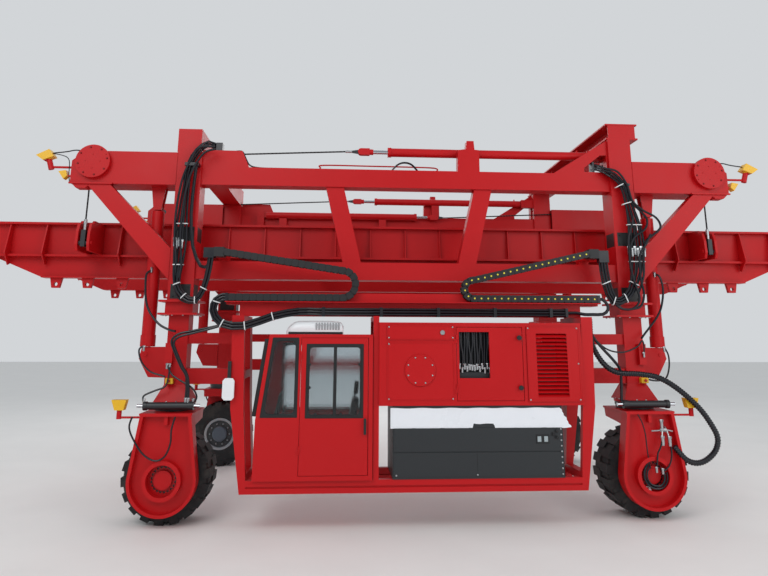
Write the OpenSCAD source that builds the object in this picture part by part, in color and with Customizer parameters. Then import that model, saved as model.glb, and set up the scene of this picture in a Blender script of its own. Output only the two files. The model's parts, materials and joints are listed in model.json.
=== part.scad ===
// Mobile straddle carrier for long containers, shown lowered on its legs.
// X runs along the machine, Y across it (the cab side is -Y) and Z is up.
// Every module is drawn about the machine's own centre line; placed() then
// moves it sideways so that the box around the whole machine is centred.

/* [Running gear] */
// Distance between the two wheels of one side
wheel_base = 7000; // [6900:50:7100]
// Distance between the wheels of the two sides
track = 4300; // [4250:50:4400]
// Outside diameter of a tyre over its lugs
tyre_d = 1240; // [1200:10:1260]
// Width of a tyre
tyre_w = 560; // [500:10:580]
// Diameter of the rim that a tyre sits on
rim_d = 620; // [580:10:640]
// Number of lugs in each of a tyre's two rows
lug_count = 18; // [12:1:24]
// Depth of a lug
lug_h = 26; // [15:1:35]

/* [Legs and lift] */
// Side of the square inner leg
leg_w = 300; // [280:10:300]
// Side of the square sleeve that slides on the leg
sleeve_w = 380; // [370:5:390]
// How far the upper frame rises on its legs
lift_stroke = 1100; // [800:50:1100]
// Outside radius of a lift cylinder
lift_r = 100; // [80:5:105]
// Radius of a lift cylinder's rod
lift_rod_r = 45; // [35:5:50]
// Clear gap between pieces that slide past each other
slide_gap = 6; // [5:1:8]

/* [Upper frame] */
// Height of the top of the long upper beams
beam_top = 5200; // [5150:10:5250]
// Depth of the upper beams
beam_h = 295; // [260:5:320]
// Height of the top of the long lower beams
low_top = 3700; // [3650:10:3750]
// Depth of the lower beams
low_h = 275; // [240:5:300]
// Width of the long beams
beam_w = 280; // [240:10:300]
// Height of the top of the sleeves
sleeve_top = 5420; // [5400:5:5440]
// Height of the bottom of the sleeves
sleeve_bot = 3100; // [3080:10:3140]

/* [Hoist] */
// Distance from the middle of the machine to a rope sheave's axle
sheave_x = 4960; // [4900:10:5000]
// Height of the sheave axles
sheave_z = 5220; // [5200:5:5240]
// Radius of a sheave at the rope
sheave_r = 150; // [140:5:170]
// Radius of the round covers over the sheave axles
cover_r = 262; // [240:2:270]
// How far the spreader is lowered
hoist_stroke = 2100; // [1500:50:2100]
// Outside radius of a hoist cylinder
hoist_r = 72; // [60:2:76]
// Radius of a hoist cylinder's rod
hoist_rod_r = 34; // [28:2:36]
// Radius of the hoist rope
rope_r = 13; // [10:1:14]

/* [Spreader] */
// Length of the spreader
spreader_l = 13700; // [13500:50:13900]
// Distance from the middle to a spreader beam
spreader_y = 1450; // [1400:10:1500]
// Height of the top of the spreader's beams
spreader_top = 4390; // [4370:5:4410]
// Depth of the spreader's main beams
spreader_h = 560; // [520:10:580]

/* [Cab and housing] */
// Distance from the machine's middle to the face of the cab
cab_out = 3000; // [2980:5:3010]
// Distance from the machine's middle to the inner face of the cab
cab_in = 2060; // [2050:5:2080]
// Height of the cab's floor
cab_floor = 670; // [660:5:690]
// Height of the cab's roof
cab_roof = 2600; // [2560:5:2620]
// Thickness of the cab's walls and door
cab_wall = 50; // [40:5:60]
// Height of the housing's underside
housing_z = 1630; // [1620:5:1640]
// Height of the housing's top
housing_top = 2770; // [2740:5:2780]
// Number of louvres in the housing's vent
louvre_count = 16; // [12:1:18]

/* [Hidden] */
$fn = 48;

paint = "#b81e22";
rubber = "#1b1b1d";
steel = "#c9ccd0";
dark = "#2c2f33";
lamp_yellow = "#f0c21c";

leg_x = wheel_base / 2;
leg_y = track / 2;
wheel_z = tyre_d / 2;
sleeve_h = sleeve_w / 2;
in_x = leg_x - sleeve_h;          // faces of the sleeves that meet the beams
out_x = leg_x + sleeve_h;
wall = 16;                        // sleeve wall
cavity_top = sleeve_top - 50;
leg_top = cavity_top - 20;
leg_bot = 1870;
// the two rope planes, measured from the machine's middle
rope_y1 = leg_y - 100;            // rope pulled towards the left sheave
rope_y2 = leg_y - 235;            // rope pulled towards the right sheave
hoist_z1 = 5560;
hoist_z2 = 5190;
barrel_l = 3340;
eye_l = 120;                      // from a barrel's end to its eye
eye_x1 = 3120;                    // fixed eyes of the barrels
eye_x2 = -2860;
barrel_x1 = eye_x1 - eye_l - barrel_l;     // rod end of the barrel that pulls left
barrel_x2 = eye_x2 + eye_l + barrel_l;     // rod end of the barrel that pulls right
clevis_gap = 240;                 // bare rod and clevis root beyond the barrel
fall_x = sheave_x + sheave_r;     // where the ropes hang down
anchor_pin_z = spreader_top - 400;         // pins of the rope sockets on the spreader
anchor_z = spreader_top - 30;
lift_x = leg_x + 500;
lift_y = leg_y - 100;
lift_pin_z = 2300;
lift_bot = 2416;
lift_top = 4500;
crown_z = 1510;                   // top of the forks
slew_z = crown_z + 50;
bend_z = 1600;                    // the platform's end posts bend in below this height
platform_z = 500;
fork_out = 530;                   // the forks' outer faces beyond the wheel planes
handle_out = 45;
// sideways shift that centres the box around the whole machine
mid_y = (cab_out + handle_out - leg_y - fork_out) / 2;

// Box between two opposite corners
module block(a, b) translate(a) cube(b - a);
// Outline in X and Z, as thick as from y0 to y1
module plate_xz(pts, y0, y1)
    translate([0, y1, 0]) rotate([90, 0, 0]) linear_extrude(y1 - y0) polygon(pts);
// Outline in Y and Z, as thick as from x0 to x1
module plate_yz(pts, x0, x1)
    translate([x0, 0, 0]) rotate([90, 0, 90]) linear_extrude(x1 - x0) polygon(pts);
module bar_x(r, x0, x1, y, z)
    translate([x0, y, z]) rotate([0, 90, 0]) cylinder(r = r, h = x1 - x0);
module bar_y(r, y0, y1, x, z)
    translate([x, y1, z]) rotate([90, 0, 0]) cylinder(r = r, h = y1 - y0);
module bar_z(r, z0, z1, x, y) translate([x, y, z0]) cylinder(r = r, h = z1 - z0);
// Straight bar between two points of one X-Z plane
module bar_to(r, p, q, y) {
    d = q - p;
    translate([p.x, y, p.y]) rotate([0, atan2(d.x, d.y), 0]) cylinder(r = r, h = norm(d));
}
module both_ends() { children(); mirror([1, 0, 0]) children(); }
module far_side() mirror([0, 1, 0]) children();
module both_sides() { children(); far_side() children(); }
module all_corners() both_sides() both_ends() children();
module placed() translate([0, mid_y, 0]) children();

// Upper frame

strut_out = -200;                 // faces measured from the leg plane
strut_in = -30;
over_out = -200;
over_in = 290;
over_bot = 4880;
over_top = 5405;
over_end = 5300;

skin = 18;                        // plate of the overhangs
// Side outline of an overhang; its hollow stops short of the end by the given distance
module over_profile(shrink, end)
    polygon([[-out_x, over_bot + shrink], [-over_end + end, over_bot + shrink],
        [-over_end + end, sheave_z + 20], [-sheave_x - 190 + end, sheave_z + 150],
        [-sheave_x + end, over_top - shrink], [-out_x, over_top - shrink]]);

// One overhang with its strut, drawn for the left end about the leg plane
module overhang() {
    difference() {
        translate([0, over_in, 0]) rotate([90, 0, 0])
            linear_extrude(over_in - over_out) over_profile(0, 0);
        translate([0, over_in - skin, 0]) rotate([90, 0, 0])
            linear_extrude(over_in - over_out - 2 * skin) over_profile(skin, 2 * skin);
        // the ropes leave through the floor and enter through the top
        block([-fall_x - 60, 40, over_bot - 5], [-fall_x + 60, 272, over_bot + 25]);
        block([-sheave_x + 50, 55, over_top - 25], [-out_x + 1, 145, over_top + 5]);
        bar_y(50.5, over_out - 5, over_in + 5, -sheave_x, sheave_z);
    }
    plate_xz([[-5050, over_bot], [-4700, over_bot], [-out_x, 3880], [-out_x, 3400]],
        strut_out, strut_in);
    plate_xz([[-5280, over_bot], [-4980, over_bot], [-5060, over_bot - 75],
        [-5200, over_bot - 75]], strut_out, strut_in);
    block([-over_end - 8, over_out - 30, over_bot - 12], [-4650, over_out, over_bot + 12]);
    // ears that carry the lift cylinder's top pin
    for (y = [26, 150]) difference() {
        plate_xz([[-lift_x - 110, over_bot], [-lift_x + 110, over_bot],
            [-lift_x + 60, lift_top + 20], [-lift_x - 60, lift_top + 20]], y, y + 24);
        bar_y(30.5, y - 1, y + 25, -lift_x, lift_top + 90);
    }
}

guard_top = beam_top + 270;

// Web posts lean in towards their feet
post_w = 285;
post_top_x = 1200;
post_bot_x = 915;

module side_truss() translate([0, -leg_y, 0]) {
    block([-in_x, -beam_w / 2, beam_top - beam_h], [in_x, beam_w / 2, beam_top]);
    block([-in_x, -beam_w / 2, low_top - low_h], [in_x, beam_w / 2, low_top]);
    for (s = [-1, 1])
        plate_xz([[s * post_top_x - post_w / 2, beam_top - beam_h],
            [s * post_top_x + post_w / 2, beam_top - beam_h],
            [s * post_bot_x + post_w / 2, low_top],
            [s * post_bot_x - post_w / 2, low_top]], -110, 110);
    both_ends() overhang();
    // raised rope guard at the left, brace up to the girder at the right
    plate_xz([[-in_x, beam_top], [-2575, beam_top], [-2690, guard_top],
        [-in_x, guard_top]], -beam_w / 2, 40);
    difference() {
        plate_xz([[2380, beam_top], [in_x, beam_top], [in_x, 5780]], -beam_w / 2, 10);
        plate_xz([[2900, beam_top + 30], [3285, beam_top + 30], [3285, beam_top + 320],
            [3180, beam_top + 320], [2900, beam_top + 100]], -beam_w / 2 - 1, 11);
    }
    // post and saddle under the barrel that pulls left, arms under the other one
    plate_xz([[790, beam_top], [1150, beam_top], [1150, 5565], [1075, 5572], [1063, 5720],
        [949, 5720], [935, 5580], [800, 5560]], -beam_w / 2, 20);
    block([960, 20, beam_top], [1120, beam_w / 2, hoist_z1 - hoist_r]);
    for (x = [-250, -2450])
        block([x, beam_w / 2, 4960], [x + 160, 300, hoist_z2 - hoist_r]);
    // ears that hold the fixed ends of both barrels
    y1 = leg_y - rope_y1;
    y2 = leg_y - rope_y2;
    for (y = [y1 - 55, y1 + 33]) difference() {
        block([eye_x1 - 90, y, hoist_z1 - 90], [in_x, y + 22, hoist_z1 + 90]);
        bar_y(28.5, y - 1, y + 23, eye_x1, hoist_z1);
    }
    for (y = [y2 - 55, y2 + 33]) difference() {
        block([eye_x2 - 80, y, hoist_z2 - 200], [eye_x2 + 70, y + 22, hoist_z2 + 60]);
        bar_y(28.5, y - 1, y + 23, eye_x2, hoist_z2);
    }
    block([eye_x2 - 80, beam_w / 2, 4960], [eye_x2 + 70, y2 + 55, hoist_z2 - 120]);
}

module near_truss() color(paint) {
    side_truss();
    // arms that carry the upper ends of the cable carriers
    for (e = chain_ends) {
        block([e.x, -leg_y - beam_w / 2, low_top], [e.x + arm_w, -leg_y, e.y + arm_h]);
        block([e.x, chain_y0, e.y], [e.x + arm_w, -leg_y - beam_w / 2, e.y + arm_h]);
    }
}
module far_truss() color(paint) far_side() side_truss();

girder_z = 5790;
module cross_beams() color(paint) {
    y = leg_y + sleeve_h;
    // box beam on the left columns, notched over the ropes
    difference() {
        block([-leg_x - 200, -y, sleeve_top], [-leg_x + 170, y, 5800]);
        both_sides() block([-leg_x - 201, -rope_y1 - 45, sleeve_top - 1],
            [-leg_x + 171, -rope_y1 + 45, sleeve_top + 75]);
    }
    // girder with flanges on the right columns
    both_sides() block([in_x, -y, sleeve_top], [out_x, -y + sleeve_w, girder_z]);
    block([in_x - 20, -y, girder_z], [leg_x + 330, y, girder_z + 25]);
    block([in_x - 20, -y, girder_z + 245], [leg_x + 330, y, girder_z + 270]);
    block([leg_x - 20, -y + 30, girder_z + 25], [leg_x + 20, y - 30, girder_z + 245]);
    both_sides() block([in_x + 20, -y + 5, girder_z + 25], [leg_x + 290, -y + 25, girder_z + 245]);
    for (x = [leg_x - 150, leg_x + 130], s = [-1, 1])
        block([x, s * 700 - 10, girder_z + 25], [x + 20, s * 700 + 10, girder_z + 245]);
}

pad_zs = [3120, 4000];            // feet of the two rings of pads
pad_h = 220;
pad_w = 300;
module pad_cutters(w, r0, r1)
    for (z = pad_zs, a = [0, 90, 180, 270])
        rotate([0, 0, a]) block([r0, -w / 2, z], [r1, w / 2, z + pad_h]);

module leg_sleeves() color(paint) all_corners() translate([-leg_x, -leg_y, 0]) {
    inner = sleeve_h - wall;
    difference() {
        block([-sleeve_h, -sleeve_h, sleeve_bot], [sleeve_h, sleeve_h, sleeve_top]);
        block([-inner, -inner, sleeve_bot - 1], [inner, inner, cavity_top]);
        block([-sleeve_h - 1, 55, sleeve_top - 35], [sleeve_h + 1, 145, sleeve_top + 1]);
        pad_cutters(pad_w, inner - 5, sleeve_h + 1);
    }
    // bolted guide collar under the sleeve
    difference() {
        union() {
            block([-290, -290, sleeve_bot - 30], [290, 290, sleeve_bot]);
            block([-290, -290, sleeve_bot - 220], [290, 290, sleeve_bot - 190]);
            block([-205, -205, sleeve_bot - 190], [205, 205, sleeve_bot - 30]);
        }
        block([-inner, -inner, sleeve_bot - 221], [inner, inner, sleeve_bot + 1]);
    }
}

module slide_pads() color(rubber) all_corners() translate([-leg_x, -leg_y, 0])
    pad_cutters(pad_w, leg_w / 2 + slide_gap, sleeve_h);

// Sheave wheel about its own axle, which lies along Y
module sheave(y) translate([-sheave_x, y, sheave_z]) rotate([90, 0, 0]) rotate_extrude()
    polygon([[50.3, -30], [90, -30], [sheave_r - 30, -14], [sheave_r + 8, -24],
        [sheave_r + 8, -18], [sheave_r - rope_r - 0.3, -14], [sheave_r - rope_r - 0.3, 14],
        [sheave_r + 8, 18], [sheave_r + 8, 24], [sheave_r - 30, 14], [90, 30], [50.3, 30]]);

module rope_sheaves() color(dark) both_sides() {
    for (s = [-1, 1]) mirror([s > 0 ? 1 : 0, 0, 0]) {
        y = s < 0 ? -rope_y1 : -rope_y2;
        bar_y(50, -leg_y + over_out, -leg_y + over_in, -sheave_x, sheave_z);
        sheave(y);
        for (d = [-1, 1]) bar_y(62, y + d * 33 - 3, y + d * 33 + 3, -sheave_x, sheave_z);
    }
}

cover_y = -leg_y + over_out - 80;           // outer face of the round covers
module sheave_covers() color(paint) all_corners() {
    bar_y(cover_r, cover_y, -leg_y + over_out, -sheave_x, sheave_z);
    // bolts: four on a small circle, four on a large one
    for (b = [[112, 0], [112, 90], [112, 180], [112, 270], [225, 30], [225, 150], [225, 210],
        [225, 330]])
        bar_y(9, cover_y - 8, cover_y, -sheave_x + b.x * cos(b.y), sheave_z + b.x * sin(b.y));
}

// Barrel whose rod leaves at x = 0 towards -X, its fixed eye at the other end
module hoist_barrel(y, z) {
    difference() {
        union() {
            bar_x(hoist_r, 0, barrel_l, y, z);
            bar_x(hoist_r + 10, 0, 60, y, z);
        }
        bar_x(hoist_rod_r + 1, -1, barrel_l - 60, y, z);
    }
    difference() {
        union() {
            block([barrel_l, y - 25, z - 50], [barrel_l + eye_l, y + 25, z + 50]);
            bar_y(50, y - 25, y + 25, barrel_l + eye_l, z);
        }
        bar_y(28.5, y - 30, y + 30, barrel_l + eye_l, z);
    }
    bar_y(28, y - 60, y + 60, barrel_l + eye_l, z);
    // oil port and pipe on top
    bar_z(14, z + hoist_r - 5, z + hoist_r + 30, barrel_l - 120, y);
}

module near_hoist_barrels() color(paint) {
    translate([barrel_x1, 0, 0]) hoist_barrel(-rope_y1, hoist_z1);
    translate([barrel_x2, 0, 0]) mirror([1, 0, 0]) hoist_barrel(-rope_y2, hoist_z2);
}
module far_hoist_barrels() color(paint) far_side() {
    translate([barrel_x1, 0, 0]) hoist_barrel(-rope_y1, hoist_z1);
    translate([barrel_x2, 0, 0]) mirror([1, 0, 0]) hoist_barrel(-rope_y2, hoist_z2);
}

// Rod with its clevis and the rope's pinned eye, leaving towards -X from x = 0
module hoist_rod(y, z) {
    color(steel) bar_x(hoist_rod_r, -clevis_gap, hoist_stroke + 220, y, z);
    color(paint) difference() {
        union() {
            bar_x(48, -clevis_gap - 60, -clevis_gap, y, z);
            block([-clevis_gap - 200, y - 44, z - 55], [-clevis_gap - 60, y + 44, z + 55]);
            bar_y(55, y - 44, y + 44, -clevis_gap - 200, z);
        }
        block([-clevis_gap - 300, y - 20, z - 60], [-clevis_gap - 90, y + 20, z + 60]);
    }
    color(steel) bar_y(20, y - 44, y + 44, -clevis_gap - 200, z);
    color(dark) difference() {
        union() {
            bar_y(40, y - 16, y + 16, -clevis_gap - 200, z);
            plate_xz([[-clevis_gap - 350, z - 16], [-clevis_gap - 215, z - 38],
                [-clevis_gap - 215, z + 38], [-clevis_gap - 350, z + 16]], y - 16, y + 16);
        }
        bar_y(20, y - 20, y + 20, -clevis_gap - 200, z);
    }
    color(steel) bar_x(20, -clevis_gap - 460, -clevis_gap - 350, y, z);
}
rope_start = clevis_gap + 461;    // where the bare rope begins beyond the barrel

module near_left_rod() translate([barrel_x1, 0, 0]) hoist_rod(-rope_y1, hoist_z1);
module near_right_rod() translate([barrel_x2, 0, 0]) mirror([1, 0, 0])
    hoist_rod(-rope_y2, hoist_z2);
module far_left_rod() far_side() translate([barrel_x1, 0, 0]) hoist_rod(-rope_y1, hoist_z1);
module far_right_rod() far_side() translate([barrel_x2, 0, 0]) mirror([1, 0, 0])
    hoist_rod(-rope_y2, hoist_z2);

rope_lie = sheave_z + sheave_r;   // height of the rope's middle on top of a sheave
module rope_runs() color(rubber) both_sides() {
    bar_to(rope_r, [barrel_x1 - rope_start, hoist_z1], [-sheave_x + 1, rope_lie], -rope_y1);
    bar_to(rope_r, [barrel_x2 + rope_start, hoist_z2], [sheave_x - 1, rope_lie], -rope_y2);
}

module rope_falls() color(rubber) both_sides() for (s = [-1, 1]) {
    y = s < 0 ? -rope_y1 : -rope_y2;
    mirror([s > 0 ? 1 : 0, 0, 0]) {
        bar_z(rope_r, anchor_z, sheave_z, -fall_x, y);
        translate([-sheave_x, y, sheave_z]) rotate([90, 0, 0]) rotate([0, 0, 90])
            rotate_extrude(angle = 90) translate([sheave_r, 0]) circle(r = rope_r);
    }
}

module lift_barrels() color(paint) all_corners() {
    difference() {
        union() {
            bar_z(lift_r, lift_bot, lift_top, -lift_x, -lift_y);
            bar_z(lift_r + 12, lift_bot, lift_bot + 170, -lift_x, -lift_y);
            block([-lift_x - 55, -lift_y - 22, lift_top], [-lift_x + 55, -lift_y + 22, lift_top + 90]);
            bar_y(55, -lift_y - 22, -lift_y + 22, -lift_x, lift_top + 90);
        }
        bar_z(lift_rod_r + 1, lift_bot - 1, lift_top - 60, -lift_x, -lift_y);
        bar_y(30.5, -lift_y - 30, -lift_y + 30, -lift_x, lift_top + 90);
    }
    bar_y(30, -lift_y - 75, -lift_y + 75, -lift_x, lift_top + 90);
}

// Two lamps on the end of each overhang: one on an elbow, a small one below it
module upper_lamps() all_corners() translate([-over_end, -leg_y - 120, sheave_z]) {
    color(paint) {
        bar_x(18, -330, 0, 0, -75);
        bar_to(42, [-330, -110], [-385, 65], 0);
        block([-95, -30, -225], [0, 30, -205]);
    }
    color(lamp_yellow) {
        plate_xz([[-560, 100], [-370, 200], [-290, 90], [-450, 25]], -75, 75);
        plate_xz([[-200, -150], [-90, -130], [-62, -215], [-115, -270]], -55, 55);
    }
}

// Hoses: each bundle follows one path, whose points are [x, y, z, spread across, spread in depth]
function point(v) = [v[0], v[1], v[2]];
function unit(v) = v / norm(v);
// Smooth curve between b and c, for t from 0 to 1
function between(a, b, c, d, t) = 0.5 * (2 * b + (c - a) * t + (2 * a - 5 * b + 4 * c - d) * t * t
    + (3 * b - a - 3 * c + d) * pow(t, 3));
function smooth(p, n) = [for (i = [0:len(p) - 2], k = [0:n - 1]) between(p[max(i - 1, 0)], p[i],
    p[i + 1], p[min(i + 2, len(p) - 1)], k / n), p[len(p) - 1]];
sides = 8;
// One hose of a bundle, a across and b in depth as shares of the bundle's spreads
module hose(r, p, a, b) {
    n = len(p);
    d = [for (i = [0:n - 1]) unit(point(p[min(i + 1, n - 1)]) - point(p[max(i - 1, 0)]))];
    rings = [for (i = [0:n - 1]) let (u = unit(cross(d[i], [0, 1, 0])), v = cross(d[i], u))
        for (j = [0:sides - 1]) point(p[i]) + (a * p[i][3] + r * cos(j * 360 / sides)) * u
            + (b * p[i][4] + r * sin(j * 360 / sides)) * v];
    polyhedron(rings, concat([[for (j = [0:sides - 1]) j],
        [for (j = [sides - 1:-1:0]) (n - 1) * sides + j]],
        [for (i = [0:n - 2], j = [0:sides - 1], k = [0, 1]) let (a0 = i * sides + j,
            b0 = i * sides + (j + 1) % sides) k == 0 ? [a0, a0 + sides, b0 + sides]
            : [a0, b0 + sides, b0]]));
}
module bundle(count, r, p) for (k = [0:count - 1])
    hose(r, smooth(p, 2), count > 1 ? 2 * k / (count - 1) - 1 : 0, count > 1 ? 1 - 2 * (k % 2) : 0);

hose_r = 17;
left_drop = [[-3100, -2200, 5535, 32, 19], [-3220, -2330, 5565, 32, 19], [-3360, -2420, 5420, 32, 19],
    [-3470, -2430, 5190, 32, 19], [-3500, -2430, 4860, 34, 19], [-3525, -2430, 4390, 60, 12],
    [-3530, -2430, 4000, 85, 5], [-3535, -2450, 3620, 60, 12], [-3520, -2520, 3330, 32, 19],
    [-3400, -2545, 3150, 32, 19], [-3225, -2570, 3090, 32, 19], [-3100, -2620, 3260, 32, 19],
    [-3030, -2670, 3550, 32, 19], [-3010, -2690, 3740, 32, 19]];
left_conduit = [[-3365, -2430, 5190, 0, 0], [-3385, -2430, 4900, 0, 0], [-3400, -2425, 4400, 0, 0],
    [-3340, -2430, 3900, 0, 0], [-3190, -2500, 3600, 0, 0], [-3060, -2570, 3610, 0, 0],
    [-3010, -2590, 3740, 0, 0]];
right_drop = [[3060, -2215, 5330, 50, 19], [3150, -2290, 5300, 50, 19], [3310, -2410, 5160, 50, 19],
    [3460, -2440, 4990, 50, 19], [3540, -2440, 4660, 60, 19], [3600, -2440, 4330, 100, 10],
    [3610, -2440, 4010, 125, 5], [3590, -2450, 3740, 110, 9], [3500, -2480, 3390, 60, 19],
    [3320, -2540, 3160, 50, 19], [3110, -2590, 3120, 50, 19], [2990, -2640, 3390, 50, 19],
    [2940, -2690, 3720, 50, 19]];
module upper_hoses() color(rubber) {
    bundle(4, hose_r, left_drop);
    bundle(1, 26, left_conduit);
    bundle(6, hose_r, right_drop);
    // blocks that hold their ends, and a clamp on the left sleeve
    block([-3110, -2285, guard_top], [-3010, -2130, guard_top + 130]);
    block([3038, -2285, beam_top + 30], [3075, -2150, beam_top + 205]);
    block([-3110, chain_y0, 3700], [chain_ends[0].x, chain_y1 + 80, 3850]);
    block([chain_ends[1].x + arm_w, chain_y0, 3690], [3015, chain_y1, 3870]);
    block([-3540, -2480, 5165], [-3325, -leg_y - sleeve_h, 5215]);
    block([3420, -2490, 4965], [3560, -leg_y - sleeve_h, 5005]);
}

// Lower frames

// Outer and inner faces of the platform's end posts, measured from the middle
function post_out(z) = 2570 + (z - bend_z) * (z > bend_z ? 0.03 : 0.155);
function post_in(z) = 2390 + (z - bend_z) * (z > bend_z ? 0.04 : 0.073);

// One leg with its flared foot and the gusset of the lift cylinder
module leg() {
    block([-leg_x - leg_w / 2, -leg_y - leg_w / 2, leg_bot],
        [-leg_x + leg_w / 2, -leg_y + leg_w / 2, leg_top]);
    hull() {
        block([-leg_x - 150, -leg_y - 150, leg_bot], [-leg_x + 150, -leg_y + 150, leg_bot + 2]);
        block([-leg_x - 260, -leg_y - 260, slew_z + 80], [-leg_x + 260, -leg_y + 260, slew_z + 82]);
    }
    bar_z(300, slew_z + 50, slew_z + 80, -leg_x, -leg_y);
    for (y = [-lift_y - lift_rod_r - 25, -lift_y + lift_rod_r + 5]) difference() {
        plate_xz([[-leg_x - 150, 2410], [-lift_x - 60, 2410], [-lift_x - 95, 2240],
            [-lift_x + 60, 1970], [-leg_x - 150, 1960]], y, y + 20);
        bar_y(28.5, y - 1, y + 21, -lift_x, lift_pin_z);
    }
    // small tank on the front of the leg
    block([-leg_x - 150, -leg_y - 230, 2160], [-leg_x - 40, -leg_y - 150, 2470]);
}

module near_legs() color(paint) both_ends() {
    leg();
    // ties that carry the platform's end posts
    plate_xz([[-leg_x + 150, 2460], [-post_out(2460), 2460], [-post_out(2620), 2620],
        [-leg_x + 150, 2620]], -leg_y - 120, -leg_y + 120);
    plate_xz([[-leg_x + 150, 1880], [-post_out(1880), 1880], [-post_out(2100), 2100],
        [-leg_x + 150, 2100]], -leg_y - 120, -leg_y + 120);
}

module far_legs() color(paint) far_side() {
    both_ends() leg();
    block([-leg_x + 150, -leg_y - 120, 2460], [leg_x - 150, -leg_y + 120, 2620]);
    block([-leg_x + 150, -leg_y - 120, 1880], [leg_x - 150, -leg_y + 120, 2100]);
    for (x = [-1700, -60, 1580])
        block([x, -leg_y - 80, 2100], [x + 120, -leg_y + 80, 2460]);
}

module lift_rods() both_ends() {
    color(steel) bar_z(lift_rod_r, lift_pin_z + 50, lift_bot + lift_stroke + 150, -lift_x, -lift_y);
    color(paint) difference() {
        union() {
            bar_y(56, -lift_y - lift_rod_r, -lift_y + lift_rod_r, -lift_x, lift_pin_z);
            bar_z(lift_rod_r, lift_pin_z, lift_pin_z + 60, -lift_x, -lift_y);
        }
        bar_y(28.5, -lift_y - 50, -lift_y + 50, -lift_x, lift_pin_z);
    }
    color(steel) bar_y(28, -lift_y - 80, -lift_y + 80, -lift_x, lift_pin_z);
}
module near_lift_rods() lift_rods();
module far_lift_rods() far_side() lift_rods();

// Slewing ring and the level steering cylinder beside it, about one leg
module slewing_gear() both_ends() translate([-leg_x, -leg_y, 0]) {
    color(dark) bar_z(290, slew_z, slew_z + 50, 0, 0);
    color(dark) {
        bar_x(52, -330, 330, -400, slew_z + 40);
        bar_x(62, -350, -300, -400, slew_z + 40);
        bar_x(62, 280, 350, -400, slew_z + 40);
        block([-60, -360, slew_z], [60, -250, slew_z + 50]);
    }
    color(steel) bar_x(26, 350, 440, -400, slew_z + 40);
    color(steel) bar_x(26, -440, -350, -400, slew_z + 40);
}
module near_slewing_gear() slewing_gear();
module far_slewing_gear() far_side() slewing_gear();

// Forks and wheels, about the steering axis of the near side

blade_out = -fork_out;
blade_in = -tyre_w / 2 - 40;
blade_r = 470;
blade_w = 350;
hub_r = 265;
web_y = (blade_out + blade_in) / 2;
crown_in = tyre_w / 2 + 65;       // inner edge of the crown over the tyre
rim_h = tyre_w / 2 - 20;          // half the rim's width
// Side view of the blade about the hub: a round foot under straight cheeks
module blade_shape(edge) {
    w = blade_w - edge; h = crown_z - wheel_z - edge; r = blade_r - edge;
    a = atan2(h, w) - acos(r / norm([w, h]));
    circle(r = r, $fn = 96);
    polygon([[-w, h], [w, h], [r * cos(a), r * sin(a)], [-r * cos(a), r * sin(a)]]);
}
module blade_slab(edge, y0, y1)
    translate([0, y1, wheel_z]) rotate([90, 0, 0]) linear_extrude(y1 - y0) blade_shape(edge);

module fork() translate([-leg_x, -leg_y, 0]) {
    color(paint) difference() {
        union() {
            blade_slab(0, blade_out, blade_in);
            // crown over the tyre
            plate_yz([[blade_in, crown_z], [blade_in, crown_z - 210], [-150, crown_z - 190],
                [crown_in - 40, crown_z - 150], [crown_in, crown_z]], -blade_w, blade_w);
            block([-blade_w - 16, blade_out, crown_z - 28], [blade_w + 16, crown_in, crown_z]);
        }
        difference() {
            blade_slab(42, blade_out - 1, web_y);
            bar_y(hub_r, blade_out, web_y + 1, 0, wheel_z);
            block([-25, blade_out + 30, crown_z - 160], [25, web_y + 1, crown_z - 30]);
        }
        bar_y(hub_r - 55, blade_out - 1, web_y + 40, 0, wheel_z);
    }
    // bolted motor flange deep in the hub
    color(paint) bar_y(125, web_y - 10, web_y + 40, 0, wheel_z);
    color(dark) for (a = [0:18:342])
        bar_y(10, web_y + 15, web_y + 40, 165 * cos(a), wheel_z + 165 * sin(a));
    // gear housing and spindle inside the rim
    color(dark) bar_y(190, blade_in, rim_h - 70, 0, wheel_z);
    color(dark) bar_y(60, rim_h - 70, rim_h - 10, 0, wheel_z);
    color(dark) bar_z(280, crown_z, slew_z - 0.3, 0, 0);
    // lamp on the outer corner
    color(paint) bar_x(15, -blade_w - 300, -blade_w, -430, crown_z - 60);
    color(paint) bar_z(34, crown_z - 80, crown_z + 40, -blade_w - 320, -430);
    color(lamp_yellow) plate_xz([[-blade_w - 375, crown_z + 40], [-blade_w - 250, crown_z + 40],
        [-blade_w - 220, crown_z + 180], [-blade_w - 425, crown_z + 180]], -490, -370);
}
module near_left_fork() fork();
module near_right_fork() mirror([1, 0, 0]) fork();
module far_left_fork() far_side() fork();
module far_right_fork() far_side() mirror([1, 0, 0]) fork();

module rim() translate([-leg_x, -leg_y, wheel_z]) rotate([90, 0, 0]) rotate_extrude($fn = 96)
    // half section: x is the radius, y runs towards the blade
    polygon([[60.3, 30 - rim_h], [60.3, 65 - rim_h], [rim_d / 2 - 18, 65 - rim_h],
        [rim_d / 2 - 18, rim_h], [rim_d / 2, rim_h], [rim_d / 2, -rim_h], [rim_d / 2 - 40, -rim_h],
        [rim_d / 2 - 60, 35 - rim_h], [145, 35 - rim_h], [145, -rim_h - 18], [120, -rim_h - 30],
        [0, -rim_h - 30], [0, -rim_h - 5], [70, -rim_h - 5], [70, 30 - rim_h]]);
module near_left_rim() color(dark) rim();
module near_right_rim() color(dark) mirror([1, 0, 0]) rim();
module far_left_rim() color(dark) far_side() rim();
module far_right_rim() color(dark) far_side() mirror([1, 0, 0]) rim();

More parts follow.
